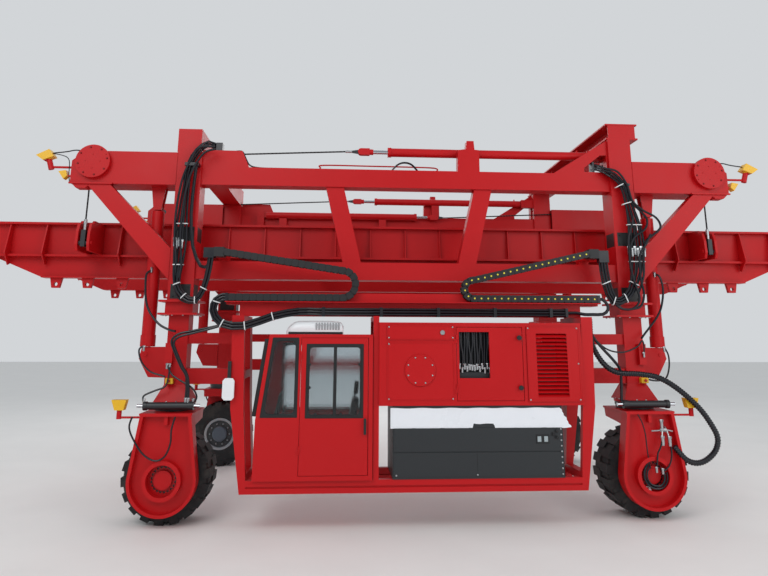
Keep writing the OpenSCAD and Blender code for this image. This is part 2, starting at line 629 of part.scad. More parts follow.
module tyre() translate([-leg_x, -leg_y, wheel_z]) rotate([90, 0, 0]) {
    r = tyre_d / 2 - lug_h; w = tyre_w / 2;
    lug_x = sqrt(pow(tyre_d / 2, 2) - pow(62, 2));     // lug corners reach the outside diameter
    rotate_extrude($fn = 96)
        polygon([[rim_d / 2, -w + 22], [rim_d / 2 + 60, -w + 6], [r - 90, -w + 4], [r - 22, -w + 14],
            [r, -w + 46], [r, w - 46], [r - 22, w - 14], [r - 90, w - 4], [rim_d / 2 + 60, w - 6],
            [rim_d / 2, w - 22]]);
    // two rows of chunky lugs, one half a step behind the other
    for (row = [-1, 1], i = [0:lug_count - 1]) rotate([0, 0, (i + row / 4) * 360 / lug_count])
        translate([0, 0, row * w / 2]) block([r - 70, -62, -w / 2 + (row > 0 ? 10 : 0)],
            [lug_x, 62, w / 2 - (row > 0 ? 0 : 10)]);
}
module near_left_tyre() color(rubber) tyre();
module near_right_tyre() color(rubber) mirror([1, 0, 0]) tyre();
module far_left_tyre() color(rubber) far_side() tyre();
module far_right_tyre() color(rubber) far_side() mirror([1, 0, 0]) tyre();

// Platform on the near lower frame

front_y = -cab_out + 50;          // near face of the platform's posts and rails
back_y = -cab_in + 30;
deck_z = cab_floor;
module platform_frame() color(paint) {
    both_ends() {
        // leaning end posts, joined front to back at the top, middle and foot
        for (y = [[front_y, front_y + 90], [-leg_y - 125, back_y]])
            plate_xz([for (z = [platform_z, bend_z, 2860]) [-post_out(z), z],
                for (z = [2860, bend_z, platform_z]) [-post_in(z), z]], y[0], y[1]);
        for (z = [620, 1990, 2750])
            plate_xz([[-post_out(z), z], [-post_in(z), z], [-post_in(z + 110), z + 110],
                [-post_out(z + 110), z + 110]], front_y + 90, -leg_y - 125);
    }
    foot = post_in(platform_z) + 20;
    for (y = [front_y, back_y - 90]) {
        block([-foot, y, platform_z], [foot, y + 90, platform_z + 70]);
        block([-foot, y, deck_z - 75], [foot, y + 90, deck_z]);
        block([-foot, y + 20, platform_z + 70], [foot, y + 70, deck_z - 75]);
    }
    for (x = [-1900, -1000, -100, 800, 1700])
        block([x, front_y + 90, platform_z + 20], [x + 90, back_y - 90, platform_z + 150]);
    // post between cab and housing, and the housing's carriers
    block([-600, front_y, deck_z], [-520, front_y + 80, 2860]);
    block([-600, back_y - 80, deck_z], [-520, back_y, 2860]);
    block([-600, front_y + 80, 2790], [-520, back_y - 80, 2860]);
}

tray_y = -2620;                   // front face of the tray behind the cable carriers
tray_x0 = -2760; tray_x1 = 2840;
chain_t = 120;
chain_y0 = tray_y - 125; chain_y1 = tray_y - 10;
chain_z = 3070;                   // underside of the carriers' lower runs
// left end and underside of the arms that the carriers' upper ends are fixed to
chain_ends = [[-2960, 3720], [2715, 3750]];
arm_w = 150; arm_h = 140;
module cable_tray() color(paint) {
    block([-2560, tray_y, 2860], [2560, tray_y + 120, 3030]);
    difference() {
        block([tray_x0, tray_y, 3030], [tray_x1, tray_y + 300, 3200]);
        block([tray_x0 - 1, tray_y + 12, 3042], [tray_x1 + 1, tray_y + 288, 3201]);
    }
    block([tray_x0, chain_y0 - 8, chain_z - 12], [tray_x1, tray_y, chain_z]);
}

hose_z = 2925;                    // level hoses in front of the tray's beam
hose_y = tray_y - 70;
left_loop = [[tray_x0 - 0.5, -2690, 3130, 40, 20], [-2780, -2690, 3130, 40, 20],
    [-2800, -2690, 3130, 40, 20], [-2885, -2710, 3075, 40, 20], [-2900, -2820, 2930, 40, 20],
    [-2740, -3000, 2745, 40, 20], [-2420, -3000, 2715, 40, 20], [-2050, -2860, 2850, 40, 20],
    [-1700, hose_y, hose_z, 40, 20], [-1400, hose_y, hose_z, 40, 20], [-900, hose_y, hose_z, 40, 20],
    [0, hose_y, hose_z, 40, 20], [2290, hose_y, hose_z, 40, 20]];
right_loop = [[tray_x1 + 0.5, -2690, 3130, 0, 0], [2865, -2690, 3130, 0, 0], [2890, -2690, 3130, 0, 0],
    [2955, -2690, 3065, 0, 0], [2960, -2700, 2975, 0, 0], [2880, -2700, 2910, 0, 0],
    [2720, -2695, 2905, 0, 0], [2600, hose_y, 2905, 0, 0], [2480, hose_y, hose_z, 0, 0],
    [2360, hose_y, hose_z, 0, 0], [2330, hose_y, hose_z, 0, 0]];
module lower_hoses() color(rubber) {
    bundle(5, hose_r, left_loop);
    bundle(1, 24, right_loop);
    block([tray_x0, -2740, chain_z], [-2720, tray_y, chain_z + chain_t]);
    block([2800, -2740, chain_z], [tray_x1, tray_y, chain_z + chain_t]);
    block([2290.5, hose_y - 50, hose_z - 66], [2329.5, tray_y, hose_z + 66]);
    // square clamps round the level hoses
    for (x = [-1350:850:2050]) difference() {
        block([x, hose_y - 50, hose_z - 66], [x + 45, tray_y, hose_z + 66]);
        block([x - 1, hose_y - 37.5, hose_z - 57.5], [x + 46, hose_y + 37.5, hose_z + 57.5]);
    }
}
module side_mirror() {
    color(dark) block([-2625, front_y - 45, 1950], [-2580, front_y, 2230]);
    color("#e6e8ea") plate_xz([[-2680, 1750], [-2650, 1715], [-2550, 1715], [-2520, 1750], [-2520, 1970],
        [-2545, 2005], [-2650, 2005], [-2680, 1970]], front_y - 85, front_y - 45);
    color(dark) block([-2640, front_y - 45, 1830], [-2560, front_y, 1890]);
}

// Side outline of the cab, smaller by t all round
function cab_outline(t) = [[-2232 + t, cab_floor + t], [-2220 + t, 1455], [-2066 + t, cab_roof - t],
    [-610 - t, cab_roof - t], [-610 - t, cab_floor + t]];
door_x0 = -1620; door_x1 = -670; door_z0 = 730; door_z1 = 2555;
front_pane = [[-2150, 1490], [-2010, 2545], [-1660, 2545], [-1660, 1490]];
pane_ys = [-cab_out + 75, -cab_in - 75];
hinge_out = 10;                   // hinge pins stand this far off the faces
hinge_r = 9;
// One half of each hinge of a door, at the pin's x, on the side dir; face is the y of the panel
module knuckles(zs, x, face, dir, lift) for (z = zs) {
    bar_z(hinge_r, z + lift, z + lift + 59.7, x, face - hinge_out);
    block([min(x, x + dir * 30), face - hinge_out, z + lift], [max(x, x + dir * 30), face, z + lift + 59.7]);
}
cab_hinge_zs = [1000, 2250];
housing_hinge_zs = [1800, 2480];
module cab_shell() color(paint) {
    knuckles(cab_hinge_zs, door_x0 + 3, -cab_out, -1, 0);
    difference() {
    plate_xz(cab_outline(0), -cab_out, -cab_in);
    plate_xz(cab_outline(cab_wall), -cab_out + cab_wall, -cab_in - cab_wall);
    block([door_x0, -cab_out - 1, door_z0], [door_x1, -cab_out + cab_wall + 1, door_z1]);
    plate_xz(front_pane, -cab_out - 1, -cab_out + cab_wall + 1);
    block([-1950, -cab_in - cab_wall - 1, 1490], [-720, -cab_in + 1, 2480]);
    block([-2300, pane_ys[0], 1500], [-1990, pane_ys[1], 2530]);
    block([-700, pane_ys[0], 1600], [-600, pane_ys[1], 2480]);
    }
}
module cab_windows() color("#9fb4bd", 0.4) {
    plate_xz(front_pane, -cab_out + 18, -cab_out + 26);
    block([-1950, -cab_in - 30, 1490], [-720, -cab_in - 22, 2480]);
    block([-640, pane_ys[0], 1600], [-632, pane_ys[1], 2480]);
    slope = 154 / 1145;           // how far the windscreen leans back
    plate_xz([[-2195 + 45 * slope, 1500], [-2185 + 45 * slope, 1500],
        [-2185 + 1075 * slope, 2530], [-2195 + 1075 * slope, 2530]], pane_ys[0], pane_ys[1]);
}
win_x0 = -1535; win_x1 = -750; win_z0 = 1480; win_z1 = 2460;
module cab_door() {
    color(paint) difference() {
        block([door_x0 + 6, -cab_out, door_z0 + 6], [door_x1 - 8, -cab_out + cab_wall - 4, door_z1 - 6]);
        for (x = [[win_x0, -1160], [-1120, win_x1]])
            block([x[0], -cab_out - 1, win_z0], [x[1], -cab_out + cab_wall + 1, win_z1]);
    }
    color(paint) knuckles(cab_hinge_zs, door_x0 + 3, -cab_out, 1, 60);
    color(dark) {
        block([-735, -cab_out - handle_out, 1260], [-700, -cab_out - 30, 1470]);
        for (z = [1270, 1445]) block([-730, -cab_out - 30, z], [-705, -cab_out, z + 15]);
    }
}
module door_windows() color("#9fb4bd", 0.4)
    for (x = [[win_x0, -1160], [-1120, win_x1]])
        block([x[0], -cab_out + 18, win_z0], [x[1], -cab_out + 26, win_z1]);

seat_y = (-cab_out - cab_in) / 2;
module driver_seat() color(dark) {
    block([-1380, seat_y - 200, cab_floor + cab_wall], [-1020, seat_y + 200, 1090]);
    block([-1470, seat_y - 240, 1090], [-960, seat_y + 240, 1210]);
    plate_xz([[-985, 1130], [-860, 1130], [-790, 1720], [-880, 1740]], seat_y - 230, seat_y + 230);
    plate_xz([[-878, 1760], [-800, 1745], [-785, 1930], [-850, 1945]], seat_y - 130, seat_y + 130);
    block([-850, seat_y - 30, 1700], [-825, seat_y + 30, 1800]);
}
module cab_console() color(dark) {
    w = (cab_out - cab_in) / 2 - cab_wall - 90;
    plate_xz([[-2150, cab_floor + cab_wall], [-1860, cab_floor + cab_wall], [-1800, 1300],
        [-1830, 1430], [-2140, 1440]], seat_y - w, seat_y + w);
    plate_xz([[-2010, 1400], [-1968, 1400], [-1890, 1760], [-1930, 1775]], seat_y - 180, seat_y + 180);
}
module cooler_unit() color("#e9ebec") {
    plate_xz([[-1850, cab_roof + 35], [-1760, cab_roof + 170], [-1700, cab_roof + 195],
        [-1060, cab_roof + 195], [-1030, cab_roof + 165], [-1030, cab_roof + 35]],
        seat_y - 330, seat_y + 330);
    block([-1800, seat_y - 300, cab_roof], [-1070, seat_y + 300, cab_roof + 35]);
}

hx0 = -520; hx1 = 2410;
hbody_x1 = 2370;                  // the housing behind its wider front panel
hdoor_x0 = 580; hdoor_x1 = 1545; hdoor_z0 = 1690; hdoor_z1 = 2710;
hwin = [590, 2000, 1060, 2640];   // x and z of the housing's window
module engine_housing() color(paint) {
    t = 40;
    difference() {
        union() {
            block([hx0, -cab_out + 10, housing_z], [hbody_x1, -cab_in, housing_top]);
            block([hx0, -cab_out + 10, housing_z], [hx1, front_y, housing_top]);
        }
        block([hx0 + t, -cab_out + 10 + t, housing_z + t], [hbody_x1 - t, -cab_in - t, housing_top - t]);
        block([hdoor_x0, -cab_out + 9, hdoor_z0], [hdoor_x1, -cab_out + 51, hdoor_z1]);
        // vent behind the louvres, and a second one at the back
        block([1740, -cab_out + 9, 1740], [2190, -cab_out + 51, 2620]);
        block([400, -cab_in - 41, 1800], [2100, -cab_in + 1, 2600]);
    }
    knuckles(housing_hinge_zs, hdoor_x0 + 3, -cab_out + 10, -1, 0);
    // round bolted cover and the panel above it
    bar_y(215, -cab_out - 6, -cab_out + 10, 60, 2110);
    for (a = [22.5:45:360])
        bar_y(10, -cab_out - 14, -cab_out - 6, 60 + 185 * cos(a), 2110 + 185 * sin(a));
    block([-410, -cab_out + 2, 2530], [555, -cab_out + 10, 2735]);
    // louvre panel and its blades
    difference() {
        block([1600, -cab_out - 2, 1680], [2370, -cab_out + 10, 2720]);
        block([1740, -cab_out - 3, 1740], [2190, -cab_out + 11, 2620]);
    }
    pitch = 880 / louvre_count;
    for (i = [0:louvre_count - 1]) translate([0, 0, 1740 + i * pitch])
        plate_yz([[-cab_out - 8, 0], [-cab_out + 40, pitch * 0.7], [-cab_out + 40, pitch * 0.7 + 4],
            [-cab_out - 8, 5]], 1740, 2190);
}
module housing_door() {
    color(paint) difference() {
        block([hdoor_x0 + 6, -cab_out + 10, hdoor_z0 + 6], [hdoor_x1 - 8, -cab_out + 50, hdoor_z1 - 6]);
        block([hwin[0] + 30, -cab_out + 5, hwin[1]], [hwin[2], -cab_out + 51, hwin[3]]);
    }
    color(paint) knuckles(housing_hinge_zs, hdoor_x0 + 3, -cab_out + 10, 1, 60);
    color(rubber) for (z = [1870, 2560]) {
        bar_y(16, -cab_out - 18, -cab_out + 10, 1490, z);
        bar_y(34, -cab_out - 34, -cab_out - 18, 1490, z);
    }
}
module engine_block() color(dark) {
    block([1150, -cab_out + 240, housing_z + 40], [2100, -cab_in - 200, 2450]);
    block([300, -cab_out + 300, housing_z + 40], [1150, -cab_in - 240, 2150]);
}
module power_box() {
    color(dark) block([-330, -cab_out + 40, deck_z], [2075, back_y, housing_z]);
    color(dark) block([-310, -cab_out + 30, 700], [2060, -cab_out + 40, 1010]);
    color(dark) block([-310, -cab_out + 30, 1025], [2060, -cab_out + 40, 1330]);
}

// Cable carrier: upper run, round end and lower run, in one side view
module chain(p_top, p_turn, x_end, y0, y1) {
    // p_top starts the upper run, p_turn is the middle of the round end
    r = p_turn.y - chain_z - chain_t / 2;
    d = p_turn + [0, r] - p_top;
    v = [0, chain_t / 2];
    s = p_turn.x > p_top.x ? 1 : -1;
    plate_xz([p_top - v, p_top + d - v, p_top + d + v, p_top + v], y0, y1);
    translate([0, y1, 0]) rotate([90, 0, 0]) linear_extrude(y1 - y0) translate(p_turn)
        intersection() {
            difference() { circle(r = r + chain_t / 2); circle(r = r - chain_t / 2); }
            translate([s > 0 ? 0 : -2 * r, -2 * r]) square([2 * r, 4 * r]);
        }
    xs = [min(x_end, p_turn.x), max(x_end, p_turn.x)];
    block([xs[0], y0, chain_z], [xs[1], y1, chain_z + chain_t]);
}
module left_cable_chain() color(rubber)
    chain([chain_ends[0].x + arm_w, 3790], [-1063, 3330], -2720, chain_y0, chain_y1);
module right_cable_chain() color(rubber)
    chain([chain_ends[1].x, 3820], [909, 3266], 2800, chain_y0, chain_y1);

// Spreader

flange = 240;
lug_xs = [4650, 5200, 5700];
lug_bore_r = 32;
stiff_step = 590;
module spreader_frame() color(paint) {
    z0 = spreader_top - spreader_h;
    both_sides() {
        y = -spreader_y;
        block([-spreader_l / 2, y - flange / 2, spreader_top - 35],
            [spreader_l / 2, y + flange / 2, spreader_top]);
        block([-spreader_l / 2, y - flange / 2, z0], [spreader_l / 2, y + flange / 2, z0 + 35]);
        block([-spreader_l / 2, y - 10, z0 + 35], [spreader_l / 2, y + 10, spreader_top - 35]);
        for (i = [-7:7]) plate_yz([[y - 10, z0 + 35], [y - 105, z0 + 35], [y - 60, spreader_top - 35],
            [y - 10, spreader_top - 35]], i * stiff_step - 8, i * stiff_step + 8);
        // large bracket plates towards the ends
        for (x = [4700, 5900, 6480], s = [-1, 1]) plate_yz([[y - 10, z0 - 120], [y - 60, z0 - 140],
            [y - 215, z0 + 40], [y - 100, spreader_top - 35], [y - 10, spreader_top - 35]],
            s * x - 10, s * x + 10);
    }
    for (f = [0.11, 0.33, 0.46], s = [-1, 1]) translate([s * f * spreader_l, 0, 0])
        block([-90, -spreader_y + 10, z0 + 60], [90, spreader_y - 10, spreader_top - 60]);
}
module spreader_girders() color(paint) both_sides() {
    z0 = spreader_top - spreader_h;
    y = -spreader_y;
    x1 = spreader_l / 2 - 180;
    x2 = x1 - 750;
    plate_xz([[-x1, z0], [-x1, z0 - 30], [-x2, z0 - 340], [x2, z0 - 340], [x1, z0 - 30], [x1, z0]],
        y + 10, y + 110);
    block([-x2, y - 90, z0 - 340], [x2, y + 110, z0 - 320]);
    for (x = lug_xs, s = [-1, 1]) difference() {
        plate_xz([[s * x - 95, z0 - 340], [s * x + 95, z0 - 340], [s * x + 62, z0 - 500],
            [s * x - 62, z0 - 500]], y - 30, y + 30);
        bar_y(lug_bore_r, y - 31, y + 31, s * x, z0 - 440);
    }
}
// Curved ears on the spreader with the shackle that the rope ends in
module rope_anchor(y) {
    z0 = spreader_top - spreader_h;
    color(paint) for (x = [-110, 70]) plate_yz([[-spreader_y - 10, z0 + 35], [y - 30, z0 + 35],
        [y - 70, z0 + 130], [y - 60, z0 + 330], [y - 10, spreader_top - 95], [y + 60, spreader_top - 95],
        [y + 120, spreader_top - 35], [-spreader_y - 10, spreader_top - 35]], x, x + 40);
    color(dark) bar_x(32, -130, 130, y, anchor_pin_z);
    color(dark) difference() {
        block([-34, y - 50, anchor_pin_z - 60], [34, y + 50, anchor_pin_z + 200]);
        bar_x(32, -40, 40, y, anchor_pin_z);
    }
    color(steel) bar_z(26, anchor_pin_z + 200, anchor_z, 0, y);
}
module rope_anchors() both_sides() {
    translate([-fall_x, 0, 0]) rope_anchor(-rope_y1);
    translate([fall_x, 0, 0]) rope_anchor(-rope_y2);
}

placed() near_truss();
placed() far_truss();
placed() cross_beams();
placed() leg_sleeves();
placed() slide_pads();
placed() rope_sheaves();
placed() sheave_covers();
placed() near_hoist_barrels();
placed() far_hoist_barrels();
placed() near_left_rod();
placed() near_right_rod();
placed() far_left_rod();
placed() far_right_rod();
placed() rope_runs();
placed() rope_falls();
placed() lift_barrels();
placed() upper_lamps();
placed() upper_hoses();
placed() near_legs();
placed() far_legs();
placed() near_lift_rods();
placed() far_lift_rods();
placed() near_slewing_gear();
placed() far_slewing_gear();
placed() near_left_fork();
placed() near_right_fork();
placed() far_left_fork();
placed() far_right_fork();
placed() near_left_rim();
placed() near_right_rim();
placed() far_left_rim();
placed() far_right_rim();
placed() near_left_tyre();
placed() near_right_tyre();
placed() far_left_tyre();
placed() far_right_tyre();
placed() platform_frame();
placed() cable_tray();
placed() lower_hoses();
placed() side_mirror();
placed() cab_shell();
placed() cab_windows();
placed() cab_door();
placed() door_windows();
placed() driver_seat();
placed() cab_console();
placed() cooler_unit();
placed() engine_housing();
placed() housing_door();
placed() engine_block();
placed() power_box();
placed() left_cable_chain();
placed() right_cable_chain();
placed() spreader_frame();
placed() spreader_girders();
placed() rope_anchors();
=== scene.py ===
# %% [markdown]
# # Straddle carrier
# The machine is already built as solids. This script gives it its looks: a paint, rubber,
# glass or steel for every node, and the parts that are too fine for the solids, such as
# carrier links, hose ties and fittings, bolts, window seals, seat cushions and loose film.
# It starts from the imported model, so every place below is in metres in the model's own
# frame: a named value, a point chosen against the photograph, or a node's box.

# %% Load the frame
import json

import bmesh
import bpy
import numpy as np
from mathutils import Matrix, Vector


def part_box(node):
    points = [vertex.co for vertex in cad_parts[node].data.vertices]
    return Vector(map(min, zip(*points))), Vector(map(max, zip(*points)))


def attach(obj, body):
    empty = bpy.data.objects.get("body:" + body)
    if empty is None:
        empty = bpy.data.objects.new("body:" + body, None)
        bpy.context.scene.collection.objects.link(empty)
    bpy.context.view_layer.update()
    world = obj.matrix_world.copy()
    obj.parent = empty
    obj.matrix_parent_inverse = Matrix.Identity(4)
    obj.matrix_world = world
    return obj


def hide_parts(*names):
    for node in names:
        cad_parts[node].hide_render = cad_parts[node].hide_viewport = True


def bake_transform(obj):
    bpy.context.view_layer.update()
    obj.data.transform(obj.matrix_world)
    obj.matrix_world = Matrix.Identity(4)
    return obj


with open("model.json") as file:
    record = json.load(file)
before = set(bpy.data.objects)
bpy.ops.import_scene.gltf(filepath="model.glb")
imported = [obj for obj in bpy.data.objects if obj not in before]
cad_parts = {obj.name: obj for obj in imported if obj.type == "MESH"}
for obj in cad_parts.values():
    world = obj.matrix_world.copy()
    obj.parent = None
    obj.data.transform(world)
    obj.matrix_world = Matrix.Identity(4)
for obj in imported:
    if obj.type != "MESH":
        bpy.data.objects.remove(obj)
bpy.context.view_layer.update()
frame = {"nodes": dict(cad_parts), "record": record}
nodes = frame["nodes"]

# %% [markdown]
# ## Measures shared with the solids
# The machine's own centre line lies a little beside the middle of its box, because the cab
# side reaches further out. `mid` is that shift, and `spot` adds it. The other values repeat
# the driving sizes of the solids, so that a piece made here sits where the solid has a seat
# for it.

# %% Shared measures
mid = 0.1825
leg_x, leg_y = 3.5, 2.15
wheel_z = 0.62
cab_face, cab_back = -3.0, -2.06
seat_y = (cab_face + cab_back) / 2
sheave_x, sheave_z, sheave_r = 4.96, 5.22, 0.15
rope_y = {"left": 2.05, "right": 1.915}
corners = [("near_left", -1, -1), ("near_right", 1, -1), ("far_left", -1, 1), ("far_right", 1, 1)]


def spot(points):
    """Points about the machine's centre line, moved into the frame: y grows by the shift."""
    return np.asarray(points, float) + (0, mid, 0)


# %% [markdown]
# ## Camera
# The photograph was taken from the ground, a little left of the middle, with a wide lens
# tilted up by 13 degrees. Its picture was cropped at the top, so the optical axis lies
# above the middle of the frame; the lens shift says by how much.

# %% Camera
photo_w, photo_h = 768, 576
focal_px, axis_row = 656.57, 186.56
yaw, pitch, roll = 0.0667, 0.2257, 0.0029
eye = (-1.1003, -12.5533, 2.5613)
camera = bpy.data.objects.new("camera", bpy.data.cameras.new("camera"))
bpy.context.scene.collection.objects.link(camera)
camera.matrix_world = (
    Matrix.Translation(spot(eye))
    @ Matrix.Rotation(-yaw, 4, "Z")
    @ Matrix.Rotation(np.pi / 2 + pitch, 4, "X")
    @ Matrix.Rotation(roll, 4, "Z")
)
camera.data.sensor_width = 36.0
camera.data.lens = focal_px / photo_w * camera.data.sensor_width
camera.data.shift_y = -(photo_h / 2 - axis_row) / photo_w
camera.data.clip_end = 200
bpy.context.scene.camera = camera
print("lens", round(camera.data.lens, 2), "shift", round(camera.data.shift_y, 3))

# %% [markdown]
# ## Colours and nodes
# Two helpers serve every material. One turns a colour that was read off a screen into the
# linear light that Blender works in. The other adds a node, sets it and links it in one
# line, so that a material reads from top to bottom like a recipe.


# %% Colour and node helpers
def linear(code, alpha=1.0):
    """An sRGB hex colour such as "b81e22" as linear light: each channel is scaled to 0..1 and
    then raised to the power 2.4 above a short straight toe."""
    c = np.array([int(code[i : i + 2], 16) for i in (0, 2, 4)]) / 255
    c = np.where(c <= 0.04045, c / 12.92, ((c + 0.055) / 1.055) ** 2.4)
    return (*c.tolist(), alpha)


def node(tree, kind, inputs=None, **settings):
    """Adds a node. Settings are its properties; inputs are values or sockets to link."""
    made = tree.nodes.new(kind)
    for key, value in settings.items():
        setattr(made, key, value)
    for key, value in (inputs or {}).items():
        if isinstance(value, bpy.types.NodeSocket):
            tree.links.new(value, made.inputs[key])
        else:
            made.inputs[key].default_value = value
    return made


def blank(name):
    """A new node material with an empty tree, and its Object coordinates."""
    mat = bpy.data.materials.new(name)
    mat.use_nodes = True
    mat.node_tree.nodes.clear()
    return mat, mat.node_tree, node(mat.node_tree, "ShaderNodeTexCoord").outputs["Object"]


def surface(t, place, code, rough, metal=0.0, grain_mm=3.0, bump=0.1, patch=0.1, patch_m=0.5, depth_mm=0.5,
            dust=None, spread=0.06, **skin):
    """The shader of one finish. Its colour drifts in value over patch_m, and its relief has grains of
    grain_mm, where a noise cell spans about three grains. Dust, where given, is a second colour in the high
    places of the slow drift. Other keywords are sockets of the shader, written with _ for a space."""
    wide = node(t, "ShaderNodeTexNoise", {"Vector": place, "Scale": 1 / patch_m, "Detail": 4.0,
                                          "Roughness": 0.6}).outputs["Fac"]
    fine = node(t, "ShaderNodeTexNoise", {"Vector": place, "Scale": 330 / grain_mm,
                                          "Detail": 2.0}).outputs["Fac"]
    base = np.array(linear(code)[:3])
    tone = node(t, "ShaderNodeMix", {"Factor": wide, 6: (*(base * (1 - patch)), 1),
                                     7: (*np.minimum(base * (1 + patch), 1), 1)}, data_type="RGBA").outputs[2]
    if dust:
        lies = node(t, "ShaderNodeMapRange", {"Value": wide, "From Min": 0.48, "From Max": 0.75,
                                              "To Min": 0.0, "To Max": 0.55})
        tone = node(t, "ShaderNodeMix", {"Factor": lies.outputs[0], 6: tone, 7: linear(dust)},
                    data_type="RGBA").outputs[2]
    sheen = node(t, "ShaderNodeMapRange", {"Value": wide, "From Min": 0.3, "From Max": 0.7,
                                           "To Min": max(rough - spread, 0.02), "To Max": rough + spread})
    relief = node(t, "ShaderNodeBump", {"Height": fine, "Strength": bump, "Distance": depth_mm / 1000})
    inputs = {"Base Color": tone, "Roughness": sheen.outputs[0], "Normal": relief.outputs[0],
              "Metallic": metal}
    inputs.update({key.replace("_", " "): value for key, value in skin.items()})
    return node(t, "ShaderNodeBsdfPrincipled", inputs).outputs[0]


def worn(name, code, rough, **finish):
    """A material with one finish all over."""
    mat, t, place = blank(name)
    node(t, "ShaderNodeOutputMaterial", {"Surface": surface(t, place, code, rough, **finish)})
    return mat


# %% [markdown]
# ## Light and floor
# The yard was under an even grey sky. A pale world gives that soft light, and three large
# lamps add just enough direction to show the edges of the beams. The background seen by the
# camera and through glass is a plain pale grey, and gloss mirrors a darker one, so that the
# red reads as it does in the yard. The floor is plain concrete and keeps the shadow.

# %% World and lamps
world = bpy.data.worlds.new("overcast")
bpy.context.scene.world = world
world.use_nodes = True
air = world.node_tree
air.nodes.clear()
rays = node(air, "ShaderNodeLightPath").outputs
seen = node(air, "ShaderNodeMath", {0: rays["Is Camera Ray"], 1: rays["Is Transmission Ray"]},
            operation="MAXIMUM")
sky, gloss, backdrop = (
    node(air, "ShaderNodeBackground", {"Color": linear(code), "Strength": strength}).outputs[0]
    for code, strength in (("e6ebf0", 0.72), ("aeb3b8", 0.9), ("d2d5d8", 1.0)))
mixed = node(air, "ShaderNodeMixShader", {0: rays["Is Glossy Ray"], 1: sky, 2: gloss}).outputs[0]
mixed = node(air, "ShaderNodeMixShader", {0: seen.outputs[0], 1: mixed, 2: backdrop}).outputs[0]
node(air, "ShaderNodeOutputWorld", {"Surface": mixed})

for name, place, size, power in (
    ("key", (-7.0, -14.0, 12.0), 9.0, 850.0),
    ("fill", (9.0, -11.0, 6.0), 8.0, 380.0),
    ("back", (0.0, 12.0, 11.0), 10.0, 520.0),
):
    data = bpy.data.lights.new(name, "AREA")
    data.size, data.energy = size, power
    lamp = bpy.data.objects.new(name, data)
    lamp.location = place
    lamp.rotation_euler = (Vector((0, 0, 2.5)) - Vector(place)).to_track_quat("-Z", "Y").to_euler()
    bpy.context.scene.collection.objects.link(lamp)
bpy.context.scene.view_settings.view_transform = "Standard"
print("lamps", [light.name for light in bpy.data.lights])

# %% Floor
floor_mat = worn("pale_concrete", "efedea", 0.78, grain_mm=9, bump=0.15, patch=0.05, patch_m=1.4)
floor_mesh = bpy.data.meshes.new("floor")
reach = 60.0
yard = [(x * reach, y * reach, 0) for x, y in ((-1, -1), (1, -1), (1, 1), (-1, 1))]
floor_mesh.from_pydata(yard, [], [(0, 1, 2, 3)])
floor_mesh.materials.append(floor_mat)
floor = bpy.data.objects.new("floor", floor_mesh)
bpy.context.scene.collection.objects.link(floor)

# %% [markdown]
# ## Paints
# The frame is sprayed with a signal red two-pack paint over shot-blasted steel. It is half
# glossy, with a faint orange-peel skin from the spray gun and slightly more matt places
# where spray settled as dust. The housing is the same red on thinner, smoother sheet. The
# wheels, the slewing gear and the power pack's box are dark greys.

# %% Paints
signal_red = dict(code="b90d13", rough=0.42, grain_mm=6, bump=0.05, patch=0.07, patch_m=0.8,
                  Specular_IOR_Level=0.25)
machine_grey = dict(code="24272a", rough=0.4, grain_mm=4, bump=0.08, patch=0.15)
lamp_yellow = dict(code="e6b218", rough=0.35, grain_mm=5, bump=0.05, patch=0.06)
red_paint = worn("signal_red_paint", **signal_red)
sheet_paint = worn("signal_red_sheet_paint", **(signal_red | dict(rough=0.34, patch=0.05)))
dark_red = worn("signal_red_bolt_paint", **(signal_red | dict(code="7d0a0e")))
dark_paint = worn("machine_grey_paint", **machine_grey)
box_coat = worn("black_grey_powder_coat", "23272a", 0.5, grain_mm=2, bump=0.2, patch=0.06)

# %% [markdown]
# ## Rubber, plastic and glass
# Tyre rubber is nearly black and quite matt, with pale yard dust in wide patches. Hoses
# have a smoother, slightly shiny cover, and their near-black colour carries a blue cast that
# is a painted sheen of the sky mirrored on them. The carriers and slide pads are black nylon.
# The cab's glass is a clear safety glass with a grey-blue cast.

# %% Rubber, plastic and glass
black_plastic = dict(code="17181a", rough=0.5, grain_mm=2, bump=0.12, patch=0.12)
tyre_rubber = worn("tyre_rubber", "17181a", 0.72, grain_mm=4, bump=0.25, patch=0.2, patch_m=0.25,
                   dust="57534c", spread=0.1)
# The blue cast of this near-black is a painted sheen: it stands in for the grey sky mirrored on the hoses.
hose_rubber = worn("hydraulic_hose_rubber_painted_blue_sheen", "10121a", 0.34, grain_mm=1.5, bump=0.15, patch=0.15, patch_m=0.2)
seal_rubber = worn("window_seal_rubber", "101113", 0.55, grain_mm=2, bump=0.1)
nylon = worn("black_nylon", **black_plastic)
console_plastic = worn("moulded_console_plastic", "26282b", 0.6, grain_mm=1.2, bump=0.3, patch=0.06)
white_plastic = worn("white_abs_plastic", "e4e6e8", 0.35, grain_mm=3, bump=0.04, patch=0.03)
light_plastic = worn("pale_grey_plastic", "9a9da0", 0.45, grain_mm=2, bump=0.05)
tie_nylon = worn("cable_tie_nylon", "d9dbdc", 0.45, grain_mm=2, bump=0.05)
dot_yellow = worn("link_yellow_plastic", "e3d33c", 0.45, grain_mm=2, bump=0.05)
yellow_plastic = worn("yellow_abs_plastic", "e0b01c", 0.4, grain_mm=2, bump=0.05)
display_grey = worn("display_glass", "9aa5a8", 0.15, grain_mm=2, bump=0.02)
film_white = worn("white_protective_film", "e6e9ee", 0.3, grain_mm=8, bump=0.15, patch=0.03)
button_red = worn("stop_button_red", "b01518", 0.35, grain_mm=2, bump=0.03)


